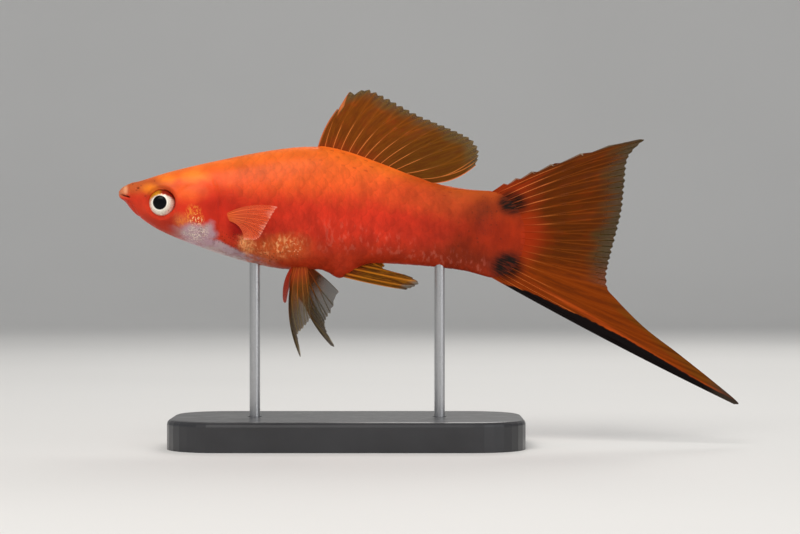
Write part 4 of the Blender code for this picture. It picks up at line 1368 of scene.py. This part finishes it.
@dataclass
class Eye:
    """A glossy eyeball, turned about its own axis and set a little forwards in the cheek."""

    side: Side
    middle: tuple[float, float, float] = (7.6, 2.55, -1.54)
    turn: float = math.radians(9)
    radius: float = 2.25
    half_depth: float = 1.55
    pupil_radius: float = 1.19
    pupil_raise: float = 0.12
    steps: int = 96

    def build(self, material: bpy.types.Material) -> bpy.types.Object:
        """Spins the eye's profile: the pupil's lens, the iris, its rim and the ball behind.

        Args:
            material: its finish.

        Returns:
            The finished piece.
        """
        bm = bmesh.new()
        verts = [bm.verts.new(Vector((out, self.side.value * deep, 0))) for out, deep in self.profile()]
        edges = [bm.edges.new(pair) for pair in zip(verts, verts[1:])]
        bmesh.ops.spin(
            bm, geom=verts + edges, cent=Vector(), axis=Vector((0, 1, 0)), angle=math.tau, steps=self.steps,
            use_merge=True,
        )
        bmesh.ops.remove_doubles(bm, verts=bm.verts, dist=1e-4)
        bmesh.ops.recalc_face_normals(bm, faces=bm.faces)
        along, across, high = self.middle
        turned = Matrix.Translation((along, self.side.value * across, high))
        bmesh.ops.transform(bm, matrix=turned @ Matrix.Rotation(self.side.value * self.turn, 4, "Z"), verts=bm.verts)
        for vert in bm.verts:
            vert.co = placed(vert.co)
        eye = new_piece(f"{self.side.word}_eye", bm, material)
        settle(eye, (f"eye_{self.side.word}",))
        return eye

    def profile(self) -> Iterable[tuple[float, float]]:
        """The eye's outline, from the middle of the pupil round to the back of the ball.

        Returns:
            (radius, depth) of each point.
        """
        inner = 14
        for i in range(inner + 1):
            out = self.pupil_radius * i / inner
            lens = self.pupil_raise * (1 - (out / self.pupil_radius) ** 6)
            yield out, self.half_depth * math.sqrt(1 - (out / self.radius) ** 2) + lens
        start = math.asin(self.pupil_radius / self.radius)
        outer = 44
        for i in range(1, outer + 1):
            turn = start + (math.pi - start) * i / outer
            out = self.radius * math.sin(turn)
            dent = 0.05 * bump(out - self.pupil_radius - 0.12, 0.10) + 0.04 * bump(out - 1.95, 0.12)
            yield out, self.half_depth * math.cos(turn) - dent * (turn < math.pi / 2)


@dataclass(frozen=True)
class Line:
    """One line of a fin from its root to its tip, bowed sideways by a share of its length."""

    root: Vector
    tip: Vector
    bow: float
    side: Vector

    def at(self, reach: float) -> Vector:
        """The place at a share of the way to the tip."""
        return self.root + (self.tip - self.root) * reach + self.side * (4 * self.bow * reach * (1 - reach))


@dataclass
class Fin:
    """A thin fin whose rays are fine ridges that branch towards its edge, on both of its faces."""

    name: str
    nodes: tuple[str, ...]
    roots: Points
    tips: Points
    bows: Points
    finish: FinFinish
    mirrored: float = 1.0
    ray_half: tuple[float, float] = (0.26, 0.06)
    web_half: tuple[float, float] = (0.14, 0.035)
    fringe: float = 0.42
    notch: float = 0.12
    wave: float = 0.12
    per_web: int = 16
    rows: int = 60
    steps: tuple[float, ...] = ()
    step_high: float = 0.5
    smooth_from: float = 99.0
    rod: tuple[float, float, float] = (0.0, 0.0, 1.0)

    @property
    def last(self) -> int:
        """The number of the last ray."""
        return int(self.tips[-1][0])

    def row(self, points: Points, ray: float) -> Vector:
        """A place on an outline of (ray, along, across, high) rows."""
        along, across, high = (smooth(points, ray, part) for part in (1, 2, 3))
        return Vector((along, across * self.mirrored, high))

    def facing(self) -> Vector:
        """The way that the fin's plate faces."""
        root, tip, last_tip = self.row(self.roots, 0), self.row(self.tips, 0), self.row(self.tips, self.last)
        normal = (tip - root).cross(last_tip - root).normalized()
        return normal if normal.y > 0 else -normal

    def line(self, ray: float, normal: Vector) -> Line:
        """The line of one ray, or of a place between rays."""
        root, tip = self.row(self.roots, ray), self.row(self.tips, ray)
        return Line(root, tip, -smooth(self.bows, ray), normal.cross(tip - root))

    def from_branch(self, ray: float, reach: float) -> float:
        """Distance from the nearest branch of a ray, as a share of the distance between rays."""
        off = abs((ray + 0.5) % 1.0 - 0.5)
        if not 0.5 < ray < self.last - 0.5:
            return off
        return abs(off - 0.25 * ease(reach, self.finish.split, 1.0))

    def length_at(self, ray: float, gap: float, line: Line) -> float:
        """How much of a line the fin covers, shorter between the tips of its branches."""
        off = abs((ray + 0.5) % 1.0 - 0.5)
        short = self.fringe * min(self.from_branch(ray, 1.0) * 4, 1) * min(gap / 2, 1) + self.notch * ease(off, 0.34, 0.5)
        short += 0.25 * (0.5 + 0.5 * math.sin(round(ray) * 12.9898)) * (0 < round(ray) < self.last)
        short *= ease(ray, self.smooth_from + 1.0, self.smooth_from)
        return 1 - short / max((line.tip - line.root).length, 1.0)

    def half_thickness(self, ray: float, reach: float, gap: float) -> float:
        """Half of the fin's thickness at a place."""
        wide = self.finish.width * (1.15 - 0.45 * reach)
        ridge = bump(self.from_branch(ray, reach) * gap, wide)
        web = self.web_half[0] + (self.web_half[1] - self.web_half[0]) * ease(reach, 0.0, 0.9)
        high = self.ray_half[0] + (self.ray_half[1] - self.ray_half[0]) * reach
        middle, thick, spread = self.rod
        body = thick * math.sqrt(max(1 - ((ray - middle) / spread) ** 2, 0)) * (1 - 0.72 * reach)
        return web + max(high - web, 0) * ridge + body

    def step(self, ray: float, reach: float) -> float:
        """How far the stepped tips of the short rays stand out from the leading edge."""
        before = 0.0
        for at in self.steps:
            if reach <= at:
                rise = (reach - before) / (at - before)
                return self.step_high * (rise**1.5 - 0.5) * ease(ray, 0.6, 0.0) * (at < 1.0 or rise < 0.9)
            before = at
        return 0.0

    def above_last(self, place: Vector, line: Line) -> float:
        """Distance of a place from the last ray."""
        chord = line.tip - line.root
        share = min(max((place - line.root).dot(chord) / chord.length_squared, 0), 1)
        return (place - line.at(share)).length

    def build(self) -> bpy.types.Object:
        """Makes the fin.

        Returns:
            The finished piece.
        """
        bm = bmesh.new()
        columns = self.last * self.per_web
        bmesh.ops.create_grid(bm, x_segments=columns, y_segments=self.rows, size=1.0)
        column_of, row_of, top = (bm.verts.layers.float.new(name) for name in ("column", "row", "top"))
        ray_of, reach_of, gap_of = (bm.verts.layers.float.new(name) for name in ("ray", "reach", "gap"))
        low_of = bm.verts.layers.float.new("low") if self.finish.band else None
        for vert in bm.verts:
            vert[column_of] = round((vert.co.x + 1) / 2 * columns)
            vert[row_of] = round((vert.co.y + 1) / 2 * self.rows)
            vert[top] = -1.0
        drawn = bmesh.ops.extrude_face_region(bm, geom=list(bm.faces))["geom"]
        for vert in (item for item in drawn if isinstance(item, bmesh.types.BMVert)):
            vert[top] = 1.0
        normal = self.facing()
        lines = [self.line(column / self.per_web, normal) for column in range(columns + 1)]
        near = self.per_web // 2
        for vert in bm.verts:
            column = round(vert[column_of])
            ray, reach, line = column / self.per_web, vert[row_of] / self.rows, lines[column]
            low, high = max(column - near, 0), min(column + near, columns)
            gap_tip = (lines[high].tip - lines[low].tip).length / (high - low) * self.per_web
            reach *= self.length_at(ray, gap_tip, line)
            gap = (lines[high].at(reach) - lines[low].at(reach)).length / (high - low) * self.per_web
            place = line.at(reach)
            sway = self.wave * math.sin(ray * 1.9 + reach * 2.6) * ease(reach, 0.15, 1.0)
            sway += 0.5 * self.wave * math.sin(ray * math.tau) * ease(reach, 0.3, 1.0) * min(gap / 2, 1)
            place += normal * (sway + vert[top] * self.half_thickness(ray, reach, gap))
            if self.steps:
                place -= lines[0].side.normalized() * self.step(ray, reach)
            vert.co = placed(place)
            vert[ray_of], vert[reach_of], vert[gap_of] = ray, reach, gap
            if low_of:
                vert[low_of] = self.above_last(place, lines[columns])
        for name in ("column", "row", "top"):
            bm.verts.layers.float.remove(bm.verts.layers.float[name])
        bmesh.ops.recalc_face_normals(bm, faces=bm.faces)
        fin = new_piece(self.name, bm, self.finish.material(self.last))
        settle(fin, self.nodes)
        return fin


@dataclass
class Fins:
    """All fins of the fish, with the sword as the lowest rays of the tail fin."""

    trunk: Trunk

    def build(self) -> list[bpy.types.Object]:
        """Makes every fin and returns the pieces."""
        fins = [self.dorsal(), self.tail(), self.anal()]
        for side in Side:
            fins += [self.pectoral(side), self.pelvic(side)]
        return [fin.build() for fin in fins]

    def dorsal(self) -> Fin:
        """The tall fin on the back, with a short first ray."""
        places = [33.65 + 1.27 * i - 0.055 * max(i - 8, 0) ** 2 * (i < 13) for i in range(14)]
        roots = [(i, along, 0.0, smooth(self.trunk.back, along + 0.3) - 0.6) for i, along in enumerate(places)]
        tips = (
            (0, 37.1, 0, 14.5), (0.35, 37.7, 0, 14.6), (0.68, 38.2, 0, 14.5), (0.82, 38.7, 0, 16.0),
            (1, 39.4, 0, 17.7), (1.3, 39.9, 0, 17.3), (2, 42.1, 0, 18.0), (3, 44.5, 0, 17.2), (6, 51.2, 0, 13.5),
            (8, 55.9, 0, 11.4), (10, 59.9, 0, 9.4), (11, 61.1, 0, 7.7), (12, 61.1, 0, 6.2), (13, 60.7, 0, 4.9),
        )
        finish = FinFinish(
            "dorsal fin", tip_share=0.3, width=0.062, flame_share=0.6, opacity=(0.99, 0.97, 0.74), pale_lead=0.75,
            pale_last=0.75, lead=(0.72, 0.19, 0.06), leads=((0.0, 0.05), (0.90, 0.70), (13.0, 0.02)),
            late_share=0.85,
        )
        bows = ((0, 0.06), (7, 0.06), (10, 0.01), (12, -0.12), (13, -0.13))
        return Fin("dorsal", ("dorsal_fin",), roots, tips, bows, finish)

    def tail(self) -> Fin:
        """The tail fin, whose lowest rays are drawn out into the sword."""
        roots = (
            (0, 62.6, 0, 0.25), (1, 63.7, 0, -0.2), (2, 64.5, 0, -0.9), (3, 64.7, 0, -1.7), (14, 64.6, 0, -10.3),
            (15, 64.2, 0, -11.2), (19, 62.6, 0, -13.8),
        )
        tips = (
            (0, 83.9, 0, 8.3), (1, 89.3, 0, 9.4), (2, 87.8, 0, 7.7), (3, 86.7, 0, 5.9), (5, 86.2, 0, 1.8),
            (7, 85.7, 0, -2.3), (9, 84.7, 0, -6.4), (11, 83.6, 0, -10.4), (13, 82.9, 0, -14.1),
            (13.5, 83.1, 0, -15.4), (14, 83.5, 0, -16.7), (15, 89.0, 0, -22.4), (16, 95.2, 0, -27.2), (17, 100.6, 0, -31.5),
            (18, 105.1, 0, -35.3), (19, 104.6, 0, -35.75),
        )
        bows = ((0, 0.023), (2, 0.028), (5, 0.022), (8, 0), (14, -0.02), (17, -0.012), (19, -0.008))
        finish = FinFinish(
            "tail fin and sword", root=TAIL_ROOT, web=(0.115, 0.023, 0.0005), edge=(0.078, 0.046, 0.012),
            root_to=(0.12, 0.42), flame=(0.24, 0.034, 0.001), shadow=(0.05, 0.009, 0.001), ray_start=(0.02, 0.14),
            ray_middle=(0.30, 0.075, 0.010), ray_edge=(0.020, 0.013, 0.006), ray_fade=(0.20, 0.50),
            ray_share=(0.88, 0.32, 0.85), opacity=(0.99, 0.97, 0.76), width=0.052, split=0.22, band=1.75, pale_lead=0.6,
            leads=((0.0, 0.1),),
        )
        steps = (0.15, 0.24, 0.365, 0.525, 0.75, 1.0)
        return Fin(
            "tail_fin", ("caudal_fin", "sword"), roots, tips, bows, finish, rows=72, steps=steps, per_web=12,
            fringe=0.25, smooth_from=13.5,
        )

    def anal(self) -> Fin:
        """The anal fin, whose lower rays are a stout rod with a hooked tip."""
        roots = (
            (0, 44.4, 0, -11.3), (1, 42.6, 0, -11.4), (2, 40.6, 0, -12.0), (3, 39.4, 0, -12.6), (4, 38.4, 0, -13.5),
            (5, 38.1, 0, -14.1),
        )
        tips = (
            (0, 45.2, 0, -12.2), (1, 45.4, 0, -13.0), (2, 49.4, 0, -13.9), (3, 51.2, 0, -15.1), (4, 50.2, 0, -15.9),
            (5, 48.8, 0, -16.3),
        )
        finish = FinFinish(
            "anal fin", root=(0.24, 0.040, 0.004), web=(0.22, 0.075, 0.003), edge=(0.085, 0.070, 0.050),
            ray_root=(0.52, 0.17, 0.012), ray_middle=(0.46, 0.17, 0.02), ray_edge=(0.18, 0.15, 0.12),
            ray_fade=(0.55, 0.85), ray_share=(0.8, 0.8, 0.8), edge_from=(0.80, 0.93), opacity=(1.0, 1.0, 0.85),
            split=0.8, shadow=(0.05, 0.015, 0.002), shadow_share=0.85, width=0.16,
        )
        bows = ((0, 0), (2, 0.0), (5, -0.015))
        return Fin(
            "anal_fin", ("gonopodium",), roots, tips, bows, finish, ray_half=(0.34, 0.10), rod=(4.0, 0.36, 1.6),
            wave=0.0, notch=0.2, fringe=0.3,
        )

    def pectoral(self, side: Side) -> Fin:
        """A clear fin behind a gill cover, spread backwards and outwards."""
        roots = ((0, 18.4, 5.1, -3.6), (8, 19.2, 5.1, -4.7))
        tips = (
            (0, 27.4, 8.5, -2.4), (1, 27.1, 8.6, -3.1), (3, 26.0, 8.8, -5.0), (5, 25.0, 8.5, -6.9),
            (7, 23.8, 7.9, -8.0), (8, 21.8, 7.3, -7.9),
        )
        finish = FinFinish(
            "pectoral fin", root=(0.76, 0.11, 0.025), web=(0.74, 0.105, 0.035), edge=(0.95, 0.32, 0.22),
            ray_root=(0.92, 0.24, 0.07), ray_middle=(0.84, 0.20, 0.08), ray_edge=(0.90, 0.34, 0.22),
            ray_share=(0.35, 0.10, 0.25), shadow_share=0.05, flame_share=0.0, edge_from=(0.84, 1.0),
            opacity=(0.66, 0.38, 0.34), width=0.045,
        )
        bows = ((0, 0.09), (4, 0.03), (8, 0.16))
        return Fin(
            f"{side.word}_pectoral", (f"pectoral_fin_{side.word}",), roots, tips, bows, finish, float(side.value),
            per_web=12, rows=40, fringe=0.12, notch=0.06, ray_half=(0.12, 0.04), web_half=(0.09, 0.03), wave=0.06,
        )

    def pelvic(self, side: Side) -> Fin:
        """A fin under the belly, whose second ray runs out into a long streamer."""
        roots = ((0, 29.7, 1.2, -11.9), (6, 31.9, 1.2, -11.9))
        if side is Side.LEFT:
            tips = (
                (0, 28.1, 3.6, -18.2), (0.33, 28.7, 3.8, -18.7), (0.5, 29.2, 3.6, -16.2), (0.67, 29.2, 3.9, -20.8),
                (1, 31.1, 4.6, -27.8), (1.5, 30.9, 4.5, -25.4), (2, 30.6, 4.5, -24.2), (3, 31.3, 4.3, -23.2),
                (4, 32.2, 4.1, -22.2), (5, 32.8, 3.9, -21.0), (6, 32.6, 3.6, -19.0),
            )
        else:
            tips = (
                (0, 31.0, 3.6, -18.6), (0.5, 32.6, 4.0, -20.9), (0.75, 34.1, 4.3, -23.2), (0.9, 35.1, 4.5, -24.8),
                (1, 36.3, 4.6, -26.3), (1.1, 36.8, 4.6, -26.4), (1.3, 36.1, 4.6, -25.1), (1.6, 35.5, 4.5, -23.9),
                (2, 35.2, 4.5, -23.3), (3, 35.0, 4.3, -22.5), (4, 35.3, 4.1, -21.4), (5, 36.2, 3.9, -20.0),
                (6, 37.3, 3.4, -16.7),
            )
        # The pale tip colour paints white glints of highlight on the pelvic fin's edge.
        finish = FinFinish(
            f"pelvic fin {side.word}", root=(0.33, 0.042, 0.007), web=(0.125, 0.044, 0.004), edge=(0.075, 0.050, 0.022),
            ray_root=(0.60, 0.15, 0.030), ray_middle=(0.20, 0.10, 0.03), ray_edge=(0.15, 0.12, 0.07),
            ray_share=(0.45, 0.45, 0.5), root_to=(0.10, 0.40), edge_from=(0.45, 0.75), ray_fade=(0.30, 0.60),
            opacity=(0.98, 0.88, 0.70), tip=(0.60, 0.56, 0.48), tip_share=0.7, width=0.075, split=0.35,
            shadow_share=0.25, lobe=0.5 if side is Side.LEFT else 0.0, clear_late=0.40,
        )
        bows = ((0, -0.10), (0.33, -0.10), (0.5, -0.06), (0.67, -0.05), (1, -0.1), (3, -0.05), (6, 0.03))
        return Fin(
            f"{side.word}_pelvic", (f"pelvic_fin_{side.word}",), roots, tips, bows, finish, float(side.value),
            per_web=12, rows=60,
        )


@dataclass
class Stand:
    """The flat base and two rods, which keep their own shapes and get their finishes."""

    nodes: dict[str, bpy.types.Object]

    def dress(self) -> None:
        """Puts lacquer on the base and brushed steel on the rods."""
        lacquer, steel = Lacquer().material(), BrushedSteel().material()
        for name, finish in (("stand_base", lacquer), ("stand_rod_front", steel), ("stand_rod_rear", steel)):
            for slot in self.nodes[name].material_slots:
                slot.material = finish
            log.info("%s: %s", name, finish.name)


@dataclass
class Studio:
    """Plain pale floor that sweeps up behind, soft lights, a pale room and the camera at the photograph's angle."""

    lens: float = 100.0
    sensor: float = 36.0
    view_width: float = 136.0
    centre: tuple[float, float] = (8.97, 30.4)
    floor_half: float = 2.0
    sweep_from: float = 0.75
    sweep_radius: float = 0.35
    wall_high: float = 1.6
    floor_colour: Colour = (0.80, 0.79, 0.77)

    def build(self) -> None:
        """Makes the floor, the lights, the room's light and the camera."""
        scene = bpy.context.scene
        scene.view_settings.view_transform = "Standard"
        self.floor()
        world = bpy.data.worlds.new("pale room")
        world.use_nodes = True
        sky = world.node_tree.nodes["Background"]
        sky.inputs["Color"].default_value = (0.95, 0.97, 1.0, 1.0)
        sky.inputs["Strength"].default_value = 0.38
        scene.world = world
        self.light("key light", (-0.14, -0.40, 0.46), 0.34, 2.5, (1.0, 0.97, 0.93))
        self.light("fill light", (0.45, -0.45, 0.15), 0.40, 0.6, (0.96, 0.98, 1.0))
        self.light("back light", (0.12, 0.38, 0.40), 0.30, 0.9, (1.0, 0.98, 0.95))
        camera = bpy.data.objects.new("camera", bpy.data.cameras.new("camera"))
        camera.data.lens = self.lens
        camera.data.sensor_width = self.sensor
        camera.data.clip_start = 0.01
        distance = self.view_width * MM * self.lens / self.sensor
        camera.location = (self.centre[0] * MM, -distance, self.centre[1] * MM)
        camera.rotation_euler = (math.pi / 2, 0.0, 0.0)
        scene.collection.objects.link(camera)
        scene.camera = camera

    def floor(self) -> None:
        """Makes the floor, bent up in a soft curve far behind the object."""
        bm = bmesh.new()
        left = bm.verts.new((-self.floor_half, -self.floor_half, 0))
        right = bm.verts.new((self.floor_half, -self.floor_half, 0))
        front = [bm.edges.new((left, right))]
        drawn = bmesh.ops.extrude_edge_only(bm, edges=front)["geom"]
        line = [item for item in drawn if isinstance(item, bmesh.types.BMEdge)]
        bmesh.ops.translate(
            bm, verts=list({vert for edge in line for vert in edge.verts}),
            vec=Vector((0, self.floor_half + self.sweep_from, 0)),
        )
        drawn = bmesh.ops.spin(
            bm, geom=line, cent=Vector((0, self.sweep_from, self.sweep_radius)), axis=Vector((1, 0, 0)),
            angle=math.pi / 2, steps=24,
        )["geom_last"]
        line = [item for item in drawn if isinstance(item, bmesh.types.BMEdge)]
        drawn = bmesh.ops.extrude_edge_only(bm, edges=line)["geom"]
        tops = [item for item in drawn if isinstance(item, bmesh.types.BMVert)]
        bmesh.ops.translate(bm, verts=tops, vec=Vector((0, 0, self.wall_high)))
        bmesh.ops.recalc_face_normals(bm, faces=bm.faces)
        material, wire, shader = new_material("pale floor")
        cloudy = wire.grain(wire.place(), 0.004, 3.0)
        pale = tuple(part * 0.96 for part in self.floor_colour)
        wire.feed(shader.inputs["Base Color"], wire.mix(wire.span(cloudy, 0.3, 0.7), self.floor_colour, pale))
        shader.inputs["Roughness"].default_value = 0.75
        new_piece("floor", bm, material)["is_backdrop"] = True

    def light(self, name: str, place: tuple[float, float, float], size: float, power: float, colour: Colour) -> None:
        """Adds a soft square light that faces the fish.

        Args:
            name: its name.
            place: where it is, in metres.
            size: its side, in metres.
            power: its power in watts.
            colour: its colour.
        """
        data = bpy.data.lights.new(name, "AREA")
        data.size = size
        data.energy = power
        data.color = colour
        lamp = bpy.data.objects.new(name, data)
        lamp.location = place
        lamp.rotation_euler = (Vector((0.01, 0.0, 0.035)) - Vector(place)).to_track_quat("-Z", "Y").to_euler()
        lamp.visible_camera = False
        bpy.context.scene.collection.objects.link(lamp)


def main() -> None:
    """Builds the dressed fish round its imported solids."""
    logging.basicConfig(level=logging.INFO, format="%(message)s", stream=sys.stdout)
    for old in list(bpy.data.objects):
        bpy.data.objects.remove(old)
    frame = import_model()
    solid_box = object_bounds()
    Studio().build()
    trunk, face = Trunk(), Face()
    finish = SkinFinish("satin skin").material(Markings().group())
    Skin(trunk, face).build(finish)
    Scales(trunk, face).build(finish)
    eye_finish = EyeFinish().material()
    for side in Side:
        Eye(side).build(eye_finish)
    Fins(trunk).build()
    Stand(frame["nodes"]).dress()
    boxes = {"cad": solid_box, "visual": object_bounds()}
    {name: [list(corner) for corner in box] for name, box in boxes.items()}


if __name__ == "__main__":
    main()
